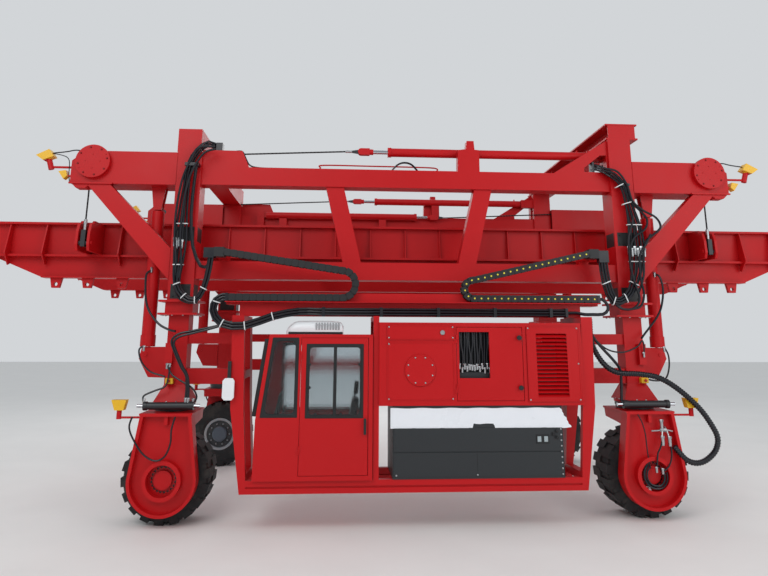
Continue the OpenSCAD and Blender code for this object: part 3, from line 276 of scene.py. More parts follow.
def clear(name, code, rough, ior, alpha):
    """Clear sheet: a tinted shader that lets light through, with alpha below 1, so that a single thin
    pane neither bends nor darkens what lies behind it too much."""
    mat, t, place = blank(name)
    smear = node(t, "ShaderNodeTexNoise", {"Vector": place, "Scale": 3.0, "Detail": 3.0})
    rub = node(t, "ShaderNodeMapRange", {"Value": smear.outputs["Fac"], "To Min": rough,
                                         "To Max": rough + 0.08}).outputs[0]
    pane = node(t, "ShaderNodeBsdfPrincipled", {"Base Color": linear(code), "Roughness": rub, "IOR": ior,
                                                "Transmission Weight": 1.0, "Alpha": alpha})
    node(t, "ShaderNodeOutputMaterial", {"Surface": pane.outputs[0]})
    return mat


cab_glass = clear("clear_safety_glass", "c4ced2", 0.02, 1.5, 0.7)
print("finishes", len(bpy.data.materials))

# %% [markdown]
# ## Bare metals
# Piston rods are hard chrome, ground so fine that they mirror the sky. Fittings and screws
# are zinc-plated steel, softer in shine. The wire rope is greased, so it is nearly black
# with small bright flanks; its strands show as a slanting relief about 65 mm apart. The
# engine is raw grey cast iron.

# %% Bare metals
hard_chrome = dict(code="c8cbd0", rough=0.1, metal=1.0, grain_mm=1, bump=0.01, patch=0.03, spread=0.03)
zinc_plate = dict(code="b6b8ba", rough=0.34, metal=1.0, grain_mm=1.5, bump=0.05, patch=0.1, patch_m=0.06)
chrome = worn("hard_chrome", **hard_chrome)
zinc = worn("zinc_plated_steel", **zinc_plate)
cast_iron = worn("grey_cast_iron", "4b4c4e", 0.65, metal=0.6, grain_mm=3, bump=0.4, patch=0.2)


def stranded(name, code, pitch_mm):
    """Greased steel wire rope: slanting bands raise and darken the surface. A diagonal wave of scale 1 has
    10 radians in a metre along each axis, so the bands come about 2.2 pitch_mm apart."""
    mat, t, place = blank(name)
    scale = 1.8 * 1000 / pitch_mm / (2 * np.pi)
    bands = node(t, "ShaderNodeTexWave", {"Vector": place, "Scale": scale, "Distortion": 0.4},
                 wave_type="BANDS", bands_direction="DIAGONAL", wave_profile="SIN").outputs["Fac"]
    tone = node(t, "ShaderNodeMix", {"Factor": bands, 6: linear("0c0c0d"), 7: linear(code)}, data_type="RGBA")
    relief = node(t, "ShaderNodeBump", {"Height": bands, "Strength": 0.8, "Distance": 0.004})
    made = node(t, "ShaderNodeBsdfPrincipled", {"Base Color": tone.outputs[2], "Roughness": 0.5,
                                                "Metallic": 0.7, "Normal": relief.outputs[0]})
    node(t, "ShaderNodeOutputMaterial", {"Surface": made.outputs[0]})
    return mat


wire_rope = stranded("greased_wire_rope", "4a4a4c", 30)


def woven(name, code, thread_mm):
    """Seat cloth: two crossed sets of bands, drawn coarse enough to show. A wave of scale 1 has 20 radians
    in a metre, so the bands come about 2 thread_mm apart."""
    mat, t, place = blank(name)
    scale = 1000 / thread_mm / (2 * np.pi)
    warp, weft = (node(t, "ShaderNodeTexWave", {"Vector": place, "Scale": scale, "Distortion": 0.2},
                       bands_direction=way).outputs["Fac"] for way in ("Y", "Z"))
    cloth = node(t, "ShaderNodeMath", {0: warp, 1: weft}, operation="MULTIPLY").outputs[0]
    tone = node(t, "ShaderNodeMix", {"Factor": cloth, 6: linear("101113"), 7: linear(code)}, data_type="RGBA")
    relief = node(t, "ShaderNodeBump", {"Height": cloth, "Strength": 0.5, "Distance": 0.001})
    made = node(t, "ShaderNodeBsdfPrincipled", {"Base Color": tone.outputs[2], "Roughness": 0.9,
                                                "Sheen Weight": 0.3, "Normal": relief.outputs[0]})
    node(t, "ShaderNodeOutputMaterial", {"Surface": made.outputs[0]})
    return mat


seat_cloth = woven("dark_grey_seat_cloth", "33363a", 4)
pad_black = worn("seat_vinyl_trim", "141518", 0.5, grain_mm=3, bump=0.3)

# %% [markdown]
# ## Finishes for the solids
# The record names a finish slot for every node, so one table gives each slot its material.
# Some nodes carry two or three finishes on one solid, such as a painted clevis on a chrome
# rod or a yellow lamp head on a red arm. Their border is always a plain height, distance
# or thickness, so their material compares Object coordinates with that border and mixes
# the finishes there.

# %% Finishes for the solids
slot_looks = dict(
    red_paint=red_paint, housing_red=sheet_paint, dark_steel=dark_paint, rim_paint=dark_paint,
    box_grey=box_coat, lamp_yellow=red_paint, tyre_rubber=tyre_rubber, hose_rubber=hose_rubber,
    black_rubber=nylon, guide_plastic=nylon, wire_rope=wire_rope, chrome_rod=chrome,
    clear_glass=cab_glass, seat_cloth=seat_cloth, cab_plastic=console_plastic,
    white_plastic=white_plastic, cast_engine=cast_iron)


def look(names, mat):
    """Gives every slot of these nodes the material."""
    for name in names:
        for s in nodes[name].material_slots:
            s.material = mat


slots_used = {p["material_slot"] for p in frame["record"]["subparts"]}
for part in frame["record"]["subparts"]:
    look([part["node"]], slot_looks.get(part["material_slot"], red_paint))
print("slots", sorted(slots_used), "without a look", sorted(slots_used - set(slot_looks)))


# %% Mixed finishes
def split(name, base, *borders):
    """A material with one finish, and others where a test on the place is true. A border is a finish and a
    function of x, y and z, taken about the machine's middle, that returns a socket of 0 or 1."""
    mat, t, place = blank(name)
    about = node(t, "ShaderNodeMapping", {"Vector": place, "Location": (0, -mid, 0)})
    axes = node(t, "ShaderNodeSeparateXYZ", {"Vector": about.outputs[0]})
    shader = surface(t, place, **base)
    for finish, test in borders:
        where = test(Place(t, axes.outputs["X"]), Place(t, axes.outputs["Y"]), Place(t, axes.outputs["Z"]))
        shader = node(t, "ShaderNodeMixShader", {0: where.socket, 1: shader,
                                                 2: surface(t, place, **finish)}).outputs[0]
    node(t, "ShaderNodeOutputMaterial", {"Surface": shader})
    return mat


class Place:
    """A socket that can be written in a formula: each sign makes one Math node."""

    def __init__(self, tree, socket):
        self.tree, self.socket = tree, socket

    def math(self, operation, other=0.0):
        other = other.socket if isinstance(other, Place) else other
        return Place(self.tree, node(self.tree, "ShaderNodeMath", {0: self.socket, 1: other},
                                     operation=operation).outputs[0])

    def __abs__(self):
        return self.math("ABSOLUTE")

    def __sub__(self, other):
        return self.math("SUBTRACT", other)

    def __gt__(self, other):
        return self.math("GREATER_THAN", other)

    def __lt__(self, other):
        return self.math("LESS_THAN", other)

    def __and__(self, other):
        return self.math("MULTIPLY", other)

    def __or__(self, other):
        return self.math("MAXIMUM", other)


def from_axis(a, b):
    """Distance from an axis: the root of the two squares added."""
    return a.math("MULTIPLY", a).math("ADD", b.math("MULTIPLY", b)).math("SQRT")


# %% Rods, anchors and slewing gear
for side, end, start in (("left", 1, -0.34), ("right", -1, 0.6)):
    # From the barrel's mouth towards the rope come chrome, red clevis, dark eye and bright socket.
    def beyond(x, edge, end=end, start=start):
        return (x < start - edge) if end > 0 else (x > start + edge)

    rod = split("hoist_rod_" + side, hard_chrome,
                (signal_red, lambda x, y, z: beyond(x, 0.24)),
                (machine_grey, lambda x, y, z, r=rope_y[side]: beyond(x, 0.33) & (abs(abs(y) - r) < 0.018)),
                (machine_grey, lambda x, y, z: beyond(x, 0.496)),
                (zinc_plate, lambda x, y, z: beyond(x, 0.591)))
    look(["near_" + side + "_rod", "far_" + side + "_rod"], rod)
look(["near_lift_rods", "far_lift_rods"],
     split("lift_rod", hard_chrome, (signal_red, lambda x, y, z: z < 2.361)))
look(["rope_anchors"], split("rope_anchor", machine_grey,
                             (zinc_plate, lambda x, y, z: z > 4.191),
                             (signal_red, lambda x, y, z: abs(abs(x) - 5.11) > 0.0695)))
look(["near_slewing_gear", "far_slewing_gear"], split(
    "slewing_gear", machine_grey,
    (hard_chrome, lambda x, y, z: (abs(abs(x) - leg_x) > 0.351) & (abs(abs(abs(y) - leg_y) - 0.4) < 0.03))))

# %% Forks, wheels and lamps
fork_looks = split(
    "fork", signal_red,
    (machine_grey, lambda x, y, z: z > 1.511),
    (machine_grey, lambda x, y, z: (z < 1.2) & (abs(y) < 2.469) & (abs(y) > 1.8)),
    (machine_grey, lambda x, y, z: (from_axis(abs(x) - leg_x, z - wheel_z) > 0.154)
     & (from_axis(abs(x) - leg_x, z - wheel_z) < 0.176) & (abs(y) < 2.56)),
    (lamp_yellow, lambda x, y, z: (z > 1.549) & (abs(x) > 3.95)),
    (signal_red, lambda x, y, z: (from_axis(abs(x) - 4.17, abs(y) - 2.58) < 0.0345) & (z < 1.549)))
look([f"{c[0]}_fork" for c in corners], fork_looks)
rim_grey = dict(code="2b2f33", rough=0.45, grain_mm=4, bump=0.08, patch=0.15, dust="4b4a46")
light_grey = dict(code="8f959a", rough=0.42, grain_mm=4, bump=0.06, patch=0.1, dust="a09d95")
cap_blue = dict(code="4d5863", rough=0.38, grain_mm=4, bump=0.05, patch=0.08)
rim_looks = split("wheel_rim", rim_grey,
                  (light_grey, lambda x, y, z: (abs(y) < 1.94)
                   & (from_axis(abs(x) - leg_x, z - wheel_z) > 0.258)),
                  (cap_blue, lambda x, y, z: from_axis(abs(x) - leg_x, z - wheel_z) < 0.1465))
look([f"{c[0]}_rim" for c in corners], rim_looks)
look(["upper_lamps"], split(
    "upper_lamps", signal_red,
    (lamp_yellow, lambda x, y, z: (z > 5.27) | ((z > 5.24) & (abs(abs(y) - 2.27) > 0.043))),
    (lamp_yellow, lambda x, y, z: (z < 5.095) & (abs(x) > 5.362))))
look(["cab_door"], split("cab_door", signal_red,
                         (black_plastic, lambda x, y, z: (x > -0.74) & (y < -3.0005))))
look(["housing_door"], split("housing_door", signal_red | dict(rough=0.34),
                             (black_plastic, lambda x, y, z: (abs(x - 1.49) < 0.036) & (y < -2.9905))))
mirror_white = dict(code="e4e6e8", rough=0.35, bump=0.04, patch=0.03)
look(["side_mirror"], split("side_mirror", black_plastic,
                            (mirror_white, lambda x, y, z: (y < -2.9945) & (z < 2.007))))
# What stands out from the near truss at this height is a black bracket.
look(["near_truss"], split("signal_red_paint_truss", signal_red,
                           (black_plastic, lambda x, y, z: (y < -2.56) & (z > 3.6) & (z < 4.0))))
print("mixed finishes", [m.name for m in bpy.data.materials])

# %% [markdown]
# ## Forms for the small pieces
# Every added piece is worked out as whole arrays: a stack of closed rings with a skin over
# it, a profile turned round an axis, or a hose along a curve. A form is an array of
# vertices and a few blocks of faces, so one bolt can be copied to many places by adding
# the places to its vertices.


# %% Rings, skins and copies
def loft(rings, capped=True):
    """Skin over a stack of closed rings, an array (rings, points, 3): each point joins the same point of
    the next ring. Capped closes both ends with a flat face; otherwise the last ring joins the first."""
    n, m = rings.shape[:2]
    i, j = np.mgrid[0 : n - 1 if capped else n, 0:m]
    k, up = (j + 1) % m, (i + 1) % n
    sides = np.stack([i * m + j, i * m + k, up * m + k, up * m + j], -1).reshape(-1, 4)
    caps = [np.arange(m)[None, ::-1], (n - 1) * m + np.arange(m)[None]] if capped else []
    return rings.reshape(-1, 3), [sides, *caps]


def join(*forms):
    """Several forms as one: each form's faces are shifted by the vertices before it."""
    starts = np.cumsum([0] + [len(v) for v, _ in forms])
    blocks = [b + s for (_, form_blocks), s in zip(forms, starts) for b in form_blocks]
    return np.concatenate([v for v, _ in forms]), blocks


def moved(form, by):
    return form[0] + by, form[1]


def stacked(verts, blocks):
    """A form from several copies of one, where verts is an array (copies, points, 3)."""
    step = np.arange(len(verts))[:, None, None] * verts.shape[1]
    return verts.reshape(-1, 3), [(b[None] + step).reshape(-1, b.shape[1]) for b in blocks]


def repeat(form, places):
    """Copies of one form, each shifted by one of the places, an array (copies, 3)."""
    return stacked(form[0][None] + np.asarray(places, float).reshape(-1, 1, 3), form[1])


def facing(form, way):
    """A form that was drawn about +Z, turned so that its +Z looks along the given direction."""
    turn = np.array(Vector((0, 0, 1)).rotation_difference(Vector(way)).to_matrix())
    return form[0] @ turn.T, form[1]


def lathe(profile, sides=24):
    """A profile of (radius, height) points carried round Z: x is radius times cosine, y radius times sine."""
    p = np.asarray(profile, float)
    a = (np.arange(sides) + 0.5) * 2 * np.pi / sides
    x, y = np.outer(p[:, 0], np.cos(a)), np.outer(p[:, 0], np.sin(a))
    return loft(np.stack([x, y, np.repeat(p[:, 1:], sides, 1)], -1))


def outward(profile, sides=24):
    """A turned form that stands on the cab side's faces: its axis looks towards -Y."""
    return facing(lathe(profile, sides), (0, -1, 0))


def piece(name, form, mat, body, sharp=0.6, shift=True):
    """Makes the form a mesh object with outward faces, smooth up to the sharp angle, riding on a body."""
    verts, blocks = form
    mesh = bpy.data.meshes.new(name)
    faces = [f for b in blocks for f in b.tolist()]
    mesh.from_pydata((spot(verts) if shift else verts).tolist(), [], faces)
    edit = bmesh.new()
    edit.from_mesh(mesh)
    bmesh.ops.recalc_face_normals(edit, faces=edit.faces)
    edit.to_mesh(mesh)
    edit.free()
    mesh.shade_smooth()
    mesh.set_sharp_from_angle(angle=sharp)
    mesh.materials.append(mat)
    made = bpy.data.objects.new(name, mesh)
    bpy.context.scene.collection.objects.link(made)
    if body:
        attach(made, body)
    return made


# %% Outlines, boxes and hoses
def rounded(corners, grow, radius, steps=5):
    """Outline of a convex polygon, its sides moved out by grow and its corners rounded: each corner is a
    curve between two points one tangent length away, which is the radius over the tangent of half the
    corner's angle. corners is (n, 2), anticlockwise."""
    p = np.asarray(corners, float)
    ahead = np.roll(p, -1, 0) - p
    ahead /= np.linalg.norm(ahead, axis=1)[:, None]
    behind = np.roll(ahead, 1, 0)
    out = np.stack([ahead[:, 1], -ahead[:, 0]], 1)
    out_b = np.roll(out, 1, 0)
    p = p + (out + out_b) * grow / (1 + (out * out_b).sum(1))[:, None]
    half = (np.pi - np.arccos(np.clip((ahead * behind).sum(1), -1, 1))) / 2
    reach = (radius / np.tan(half))[:, None]
    t = np.linspace(0, 1, steps + 1)[None, :, None]
    a, b = (p - behind * reach)[:, None], (p + ahead * reach)[:, None]
    return (a * (1 - t) ** 2 + 2 * p[:, None] * t * (1 - t) + b * t**2).reshape(-1, 2)


def ring_at(outline, height):
    """A ring of a loft: the points of a flat outline, all at one height."""
    return np.c_[outline, np.full(len(outline), height)]


def slab(corners, low, high, radius=0.01, edge=0.004):
    """A plate with a rounded outline and a small bevel round both faces, its thickness along Z."""
    heights = [(low, -edge), (low + edge, 0), (high - edge, 0), (high, -edge)]
    return loft(np.stack([ring_at(rounded(corners, g, max(radius + g, 0.001)), z) for z, g in heights]))


def rect(x0, x1, y0, y1):
    return [(x0, y0), (x1, y0), (x1, y1), (x0, y1)]


def upright(form):
    """A form drawn in X and Y with its height along Z, set up in X and Z with its height along -Y."""
    v = form[0]
    return np.stack([v[:, 0], -v[:, 2], v[:, 1]], 1), form[1]


def sideways(form):
    """A form drawn in X and Y with its height along Z, set up in Y and Z with its height along X."""
    v = form[0]
    return np.stack([v[:, 2], v[:, 0], v[:, 1]], 1), form[1]


def curved(points, steps=5):
    """Smooth curve through the points: each span is the cubic that its four nearest points give."""
    p = np.asarray(points, float)
    q = np.concatenate([p[:1], p, p[-1:]])
    a, b, c, d = (q[k : len(q) - 3 + k, None] for k in range(4))
    t = (np.arange(steps) / steps)[None, :, None]
    span = 0.5 * (2 * b + (c - a) * t + (2 * a - 5 * b + 4 * c - d) * t**2 + (3 * b - a - 3 * c + d) * t**3)
    return np.concatenate([span.reshape(-1, p.shape[1]), p[-1:]])


def hose(points, radius, sides=8, steps=5, rib=0.0, pitch=0.02):
    """A round tube along a smooth curve. Each ring stands square to the curve, between a direction square
    to the curve and to Y, and a third one square to both. A ribbed tube is cut four times a pitch, and its
    radius swells and shrinks by the rib as a cosine of the length."""
    c = curved(points, steps)
    if rib:
        run = np.r_[0, np.cumsum(np.linalg.norm(np.diff(c, axis=0), axis=1))]
        at = np.linspace(0, run[-1], int(run[-1] / pitch * 4) + 1)
        c = np.stack([np.interp(at, run, c[:, k]) for k in range(3)], 1)
        radius = radius + rib * np.cos(at * 2 * np.pi / pitch)
    d = np.gradient(c, axis=0)
    u = np.cross(d, (0, 1, 0.02))
    v = np.cross(d, u)
    u, v = (w / np.linalg.norm(w, axis=1)[:, None] for w in (u, v))
    a = (np.arange(sides) * 2 * np.pi / sides)[None, :, None]
    r = np.broadcast_to(radius, len(c))[:, None, None]
    return loft(c[:, None] + r * (np.cos(a) * u[:, None] + np.sin(a) * v[:, None]))


def route(xz, y):
    """Points of a hose from (x, z) pairs and one depth, or one depth for each end."""
    xz = np.asarray(xz, float)
    depth = np.linspace(*y, len(xz)) if np.ndim(y) else np.full(len(xz), y)
    return np.c_[xz[:, 0], depth, xz[:, 1]]


hex_head = join(lathe([(0.016, 0), (0.016, 0.003)], 12),
                lathe([(0.0125, 0.003), (0.0125, 0.01), (0.0105, 0.013)], 6))
print("one bolt", len(hex_head[0]), "vertices")

# %% [markdown]
# ## Window seals
# Each pane sits in a black rubber seal that is pressed over the edge of the sheet. It shows
# as a soft band about 50 mm wide with round inner corners. Two rounded outlines, one just
# outside the cut and one inside it, are joined by a flat section with a bevelled edge.


# %% Window seals
def seal(corners, wide=0.04, lap=0.01, proud=0.007, sunk=0.03, inner=0.07):
    """A closed band between the outline grown by lap and the outline shrunk by wide, from sunk to proud.
    Each row is a growth, a corner radius and a height."""
    rows = [(lap, 0.012, 0.0), (lap - 0.006, 0.012, proud), (0.008 - wide, inner, proud), (-wide, inner, 0.0),
            (-wide, inner, -sunk), (-wide + 0.02, inner, -sunk)]
    return loft(np.stack([ring_at(rounded(corners, g, r), z) for g, r, z in rows]), False)


side_pane = [(-2.15, 1.49), (-1.66, 1.49), (-1.66, 2.545), (-2.01, 2.545)]
fixed = [moved(upright(seal(side_pane)), (0, cab_face, 0)),
         moved(upright(seal(rect(-1.95, -0.72, 1.49, 2.48), sunk=0.02)), (0, cab_back, 0))]
fixed.append(moved(sideways(seal(rect(-2.925, -2.135, 1.6, 2.48))), (-0.61, 0, 0)))
# The front pane leans: its x grows with the height above its foot.
foot_x, foot_z, lean = -2.232, 1.455, 0.1345
front = sideways(seal(rect(-2.925, -2.135, 1.5, 2.53), proud=-0.05, sunk=-0.004))
fixed.append(moved(front, np.outer(foot_x + (front[0][:, 2] - foot_z) * lean, (1, 0, 0))))
piece("cab_window_seals", join(*fixed), seal_rubber, "near_lower")
doors = [moved(upright(seal(rect(-1.535, -0.75, 1.48, 2.46), inner=0.05)), (0, cab_face, 0)),
         moved(upright(slab(rect(-1.163, -1.117, 1.5, 2.44), -0.004, 0.006, 0.004, 0.002)), (0, cab_face, 0))]
piece("door_window_seals", join(*doors), seal_rubber, "cab_door")
print("seals", len(fixed) + len(doors))

# %% [markdown]
# ## Roof cooler
# The cooling unit on the roof is a low white plastic hood with round shoulders. It replaces
# the plain solid with the same outline: rings across the machine whose width and height
# follow the solid, with a superellipse section so that the shoulders are round. A grille
# of thin pale grey bars stands in front of its right part.

# %% Roof cooler
low, high = (np.array(c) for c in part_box("cooler_unit"))
# Each ring's place along the hood, its height and its width, as shares of the solid's.
share = np.array([0, 0.02, 0.07, 0.13, 0.2, 0.5, 0.8, 0.93, 0.975, 1.0])
tall = np.array([0.3, 0.5, 0.72, 0.9, 0.985, 1.0, 0.985, 0.93, 0.82, 0.6])
wide = np.array([0.86, 0.92, 0.96, 0.985, 1.0, 1.0, 1.0, 0.985, 0.96, 0.9])
a = np.linspace(0, np.pi, 25)
boxy = 0.45
round_y = np.sign(np.cos(a)) * np.abs(np.cos(a)) ** boxy
round_z = np.abs(np.sin(a)) ** boxy
half_y, full_z = (high[1] - low[1]) / 2, high[2] - low[2]
rings = np.stack([np.broadcast_to((low[0] + share * (high[0] - low[0]))[:, None], (len(share), len(a))),
                  (low[1] + half_y) + wide[:, None] * half_y * round_y,
                  low[2] + tall[:, None] * full_z * round_z], -1)
hood = piece("cooler_hood", loft(rings), white_plastic, "near_lower", shift=False)
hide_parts("cooler_unit")
bars = repeat(upright(slab(rect(-0.012, 0.012, 0, 0.1), 0, 0.004, 0.003, 0.001)),
              [(x, seat_y - 0.331, 2.665) for x in np.linspace(-1.42, -1.1, 9)])
foot_strip = slab(rect(low[0] + 0.03, high[0] - 0.01, low[1] - mid - 0.004, high[1] - mid + 0.004),
                  low[2] + 0.001, low[2] + 0.035, 0.03)
piece("cooler_grille", bars, light_plastic, "near_lower")
piece("cooler_foot", foot_strip, nylon, "near_lower")

# %% [markdown]
# ## Driver's seat
# The seat is seen through the panes. It is a sprung seat: a bellows on a base plate carries
# a cushion, a back with a raised lumbar part and a headrest, all in woven cloth with sewn
# channels. Each pad is a superellipsoid, a ball whose cosines and sines are drawn towards a
# box by a small power, which is crowned in the middle and pulled in where its seams run.


# %% Pads
def pad(centre, half, channels=(), lean=0.0, axis=0, depth=0.012, power=0.35, n=56):
    """A stuffed pad. Each coordinate is its half size times a cosine or sine, kept by sign and raised to a
    power below 1 so that the ball nears a box. A groove along each seam pulls the skin in by depth times a
    bell curve of the distance to the seam. lean tilts the pad about Y."""
    u = np.linspace(-np.pi / 2, np.pi / 2, n)[1:-1, None]
    w = np.linspace(0, 2 * np.pi, 2 * n, endpoint=False)[None]
    bend = lambda c: np.sign(c) * np.abs(c) ** power
    x, y, z = bend(np.cos(u)) * bend(np.cos(w)), bend(np.cos(u)) * bend(np.sin(w)), bend(np.sin(u)) + 0 * w
    p = np.stack([x, y, z], -1)
    swell, fade = 0.10, 1.4
    crown = 1 + swell * np.cos(p[..., 0] * fade) * np.cos(p[..., 1] * fade)
    thin = np.argmin(half)
    p[..., thin] *= crown / (1 + swell)
    for at in channels:
        p[..., thin] *= 1 - depth / half[thin] * np.exp(-(((p[..., axis] - at) * half[axis]) / 0.008) ** 2)
    p = p * half
    turn = np.array(Matrix.Rotation(lean, 3, "Y"))
    return loft(p @ turn.T + centre)


seat_parts = [
    ("seat_cushion", pad((-1.215, seat_y, 1.15), (0.25, 0.235, 0.058), (-0.45, 0.05, 0.55))),
    ("seat_back", pad((-0.888, seat_y, 1.43), (0.055, 0.225, 0.29), (-0.4, 0.0, 0.4), lean=0.2, axis=2)),
    ("seat_headrest", pad((-0.829, seat_y, 1.845), (0.034, 0.125, 0.09), lean=0.1)),
]
for name, form in seat_parts:
    made = piece(name, form, seat_cloth, "near_lower", sharp=1.2)
    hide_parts("driver_seat")
heights = np.linspace(0.735, 1.06, 14)
bulge = 1 + 0.05 * np.cos(np.arange(14) * np.pi)
around = rounded(rect(-0.16, 0.16, -0.18, 0.18), 0, 0.03)
bellows = loft(np.stack([ring_at(around * g + (-1.2, seat_y), z) for z, g in zip(heights, bulge)]))
base = moved(slab(rect(-0.18, 0.18, -0.2, 0.2), 0.72, 0.74, 0.02), (-1.2, seat_y, 0))
pan = moved(slab(rect(-0.235, 0.235, -0.22, 0.22), 1.06, 1.1, 0.03), (-1.215, seat_y, 0))
posts = [hose([(-0.862, seat_y + s, 1.7), (-0.845, seat_y + s, 1.76), (-0.835, seat_y + s, 1.8)], 0.008)
         for s in (-0.05, 0.05)]
rest = [pad((-1.09, seat_y + s * 0.255, 1.33), (0.15, 0.022, 0.02)) for s in (-1, 1)]
arms = [hose([(-0.90, seat_y + s * 0.21, 1.25), (-0.94, seat_y + s * 0.235, 1.3),
              (-1.0, seat_y + s * 0.25, 1.32)], 0.016) for s in (-1, 1)]
stand = piece("seat_stand", join(bellows, base, pan, *posts, *rest, *arms), pad_black, "near_lower")
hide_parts("driver_seat")
print("seat pieces", len(seat_parts) + 1)

# %% [markdown]
# ## Steering wheel and levers
# The console in front of the seat carries a steering wheel on a leaning column and two
# levers. The rim is a hose bent into a circle, and the spokes are short hoses.

# %% Steering wheel and levers
turn = np.linspace(0, 2 * np.pi, 33)[:-1]
wheel_r, grip = 0.19, 0.013
small = np.arange(10) * 2 * np.pi / 10
out = wheel_r + grip * np.cos(small)
rim = np.stack([out * np.cos(turn)[:, None], out * np.sin(turn)[:, None],
                np.broadcast_to(grip * np.sin(small), (len(turn), len(small)))], -1)
spokes = [hose([(0.04 * np.cos(b), 0.04 * np.sin(b), -0.03), (0.1 * np.cos(b), 0.1 * np.sin(b), -0.015),
                (wheel_r * np.cos(b), wheel_r * np.sin(b), 0)], 0.009) for b in (0.5, 2.6, 4.71)]
hub = lathe([(0.01, -0.2), (0.022, -0.2), (0.022, -0.06), (0.05, -0.045), (0.055, -0.02), (0.03, -0.01),
             (0.01, -0.008)])
steering = facing(join(loft(rim, False), *spokes, hub), (0.42, 0, 0.91))
lever = lathe([(0.006, 0), (0.006, 0.1), (0.016, 0.11), (0.019, 0.14), (0.012, 0.16), (0.003, 0.165)], 12)
levers = [moved(lever, (-1.86, seat_y + s, 1.425)) for s in (-0.24, 0.24)]
piece("steering_wheel", join(moved(steering, (-1.72, seat_y, 1.33)), *levers), console_plastic, "near_lower")
print("spokes", len(spokes), "levers", len(levers))

# %% [markdown]
# ## Ropes
# The hoist ropes are pulled over the end sheaves by the cylinders and hang down to the
# spreader. They replace the plain solids and ride on no body: a run goes straight from its
# rod to the top of its sheave, and a fall bends over the sheave and drops to the spreader's
# socket. They are hoses of the rope's own radius, with the strands as relief.

# %% Ropes
rope_r = 0.013
run_start = {"left": (-1.041, 5.56), "right": (1.301, 5.19)}
for side, face in (("near", -1), ("far", 1)):
    for end, out in (("left", -1), ("right", 1)):
        x, z = run_start[end]
        first = np.array([x, face * rope_y[end], z])
        last = np.array([out * (sheave_x - 0.001), face * rope_y[end], sheave_z + sheave_r])
        span = np.linspace(0, 1, 30)[:, None]
        line = first * (1 - span) + last * span
        run = piece(f"{side}_{end}_rope_run", hose(line, rope_r, 8, 2), wire_rope, None)
        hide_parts("rope_runs")
        tuple(spot(line)[0])
        tuple(spot(line)[-1])
        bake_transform(run)
a = np.linspace(np.pi / 2, 0, 9)[:, None]
bend = np.c_[sheave_x + sheave_r * np.cos(a), np.zeros(9), sheave_z + sheave_r * np.sin(a)]
socket_z = 4.361
drop = np.c_[np.full(24, sheave_x + sheave_r), np.zeros(24), np.linspace(sheave_z - 0.03, socket_z, 24)]
falls = [hose(np.r_[bend, drop] * (out, 1, 1) + (0, face * rope_y[end], 0), rope_r, 8, 1)
         for face in (-1, 1) for end, out in (("left", -1), ("right", 1))]
fall = piece("rope_falls_to_spreader", join(*falls), wire_rope, None)
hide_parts("rope_falls")
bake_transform(fall)
print("ropes", 4 + len(falls))

# %% [markdown]
# ## Cable carriers
# A cable carrier is a chain of hollow plastic links, each about 100 mm long, with two side
# plates and cross bars that snap in. It runs level, turns through half a circle and comes
# back. The links are placed along that line by its length, and each is turned to its
# direction. The right carrier has a yellow plug in each link. In the machine the upper end
# is fixed to the upper frame and the lower run to the tray; here the piece rides on no body
# and stays where it is drawn.


# %% Carrier line
tray_z = 3.13  # the level of the lower runs


def carrier_line(top, turn_at, end_x, pitch=0.1):
    """Places and angles along upper run, half circle and lower run, one every pitch of length."""
    r = turn_at[1] - tray_z
    s = np.sign(turn_at[0] - top[0])
    t = np.linspace(np.pi / 2, -np.pi / 2, 40)
    arc = np.c_[turn_at[0] + s * r * np.cos(t), turn_at[1] + r * np.sin(t)]
    line = np.r_[[top], arc, [(end_x, tray_z)]]
    run = np.r_[0, np.cumsum(np.linalg.norm(np.diff(line, axis=0), axis=1))]
    count = int(run[-1] / pitch)
    at = (np.arange(count) + 0.5) * run[-1] / count
    place = lambda d: np.stack([np.interp(at + d, run, line[:, k]) for k in (0, 1)], 1)
    ahead = place(0.03) - place(-0.03)
    return place(0.0), np.arctan2(ahead[:, 1], ahead[:, 0]), run[-1] / count


def along(form, places, angles, y):
    """Copies of a form drawn in X and Z, each turned about Y by its angle and set at its place."""
    v, blocks = form
    c, s = np.cos(angles)[:, None], np.sin(angles)[:, None]
    x = v[:, 0] * c - v[:, 2] * s + places[:, :1]
    z = v[:, 0] * s + v[:, 2] * c + places[:, 1:]
    return stacked(np.stack([x, np.broadcast_to(v[:, 1] + y, x.shape), z], -1), blocks)


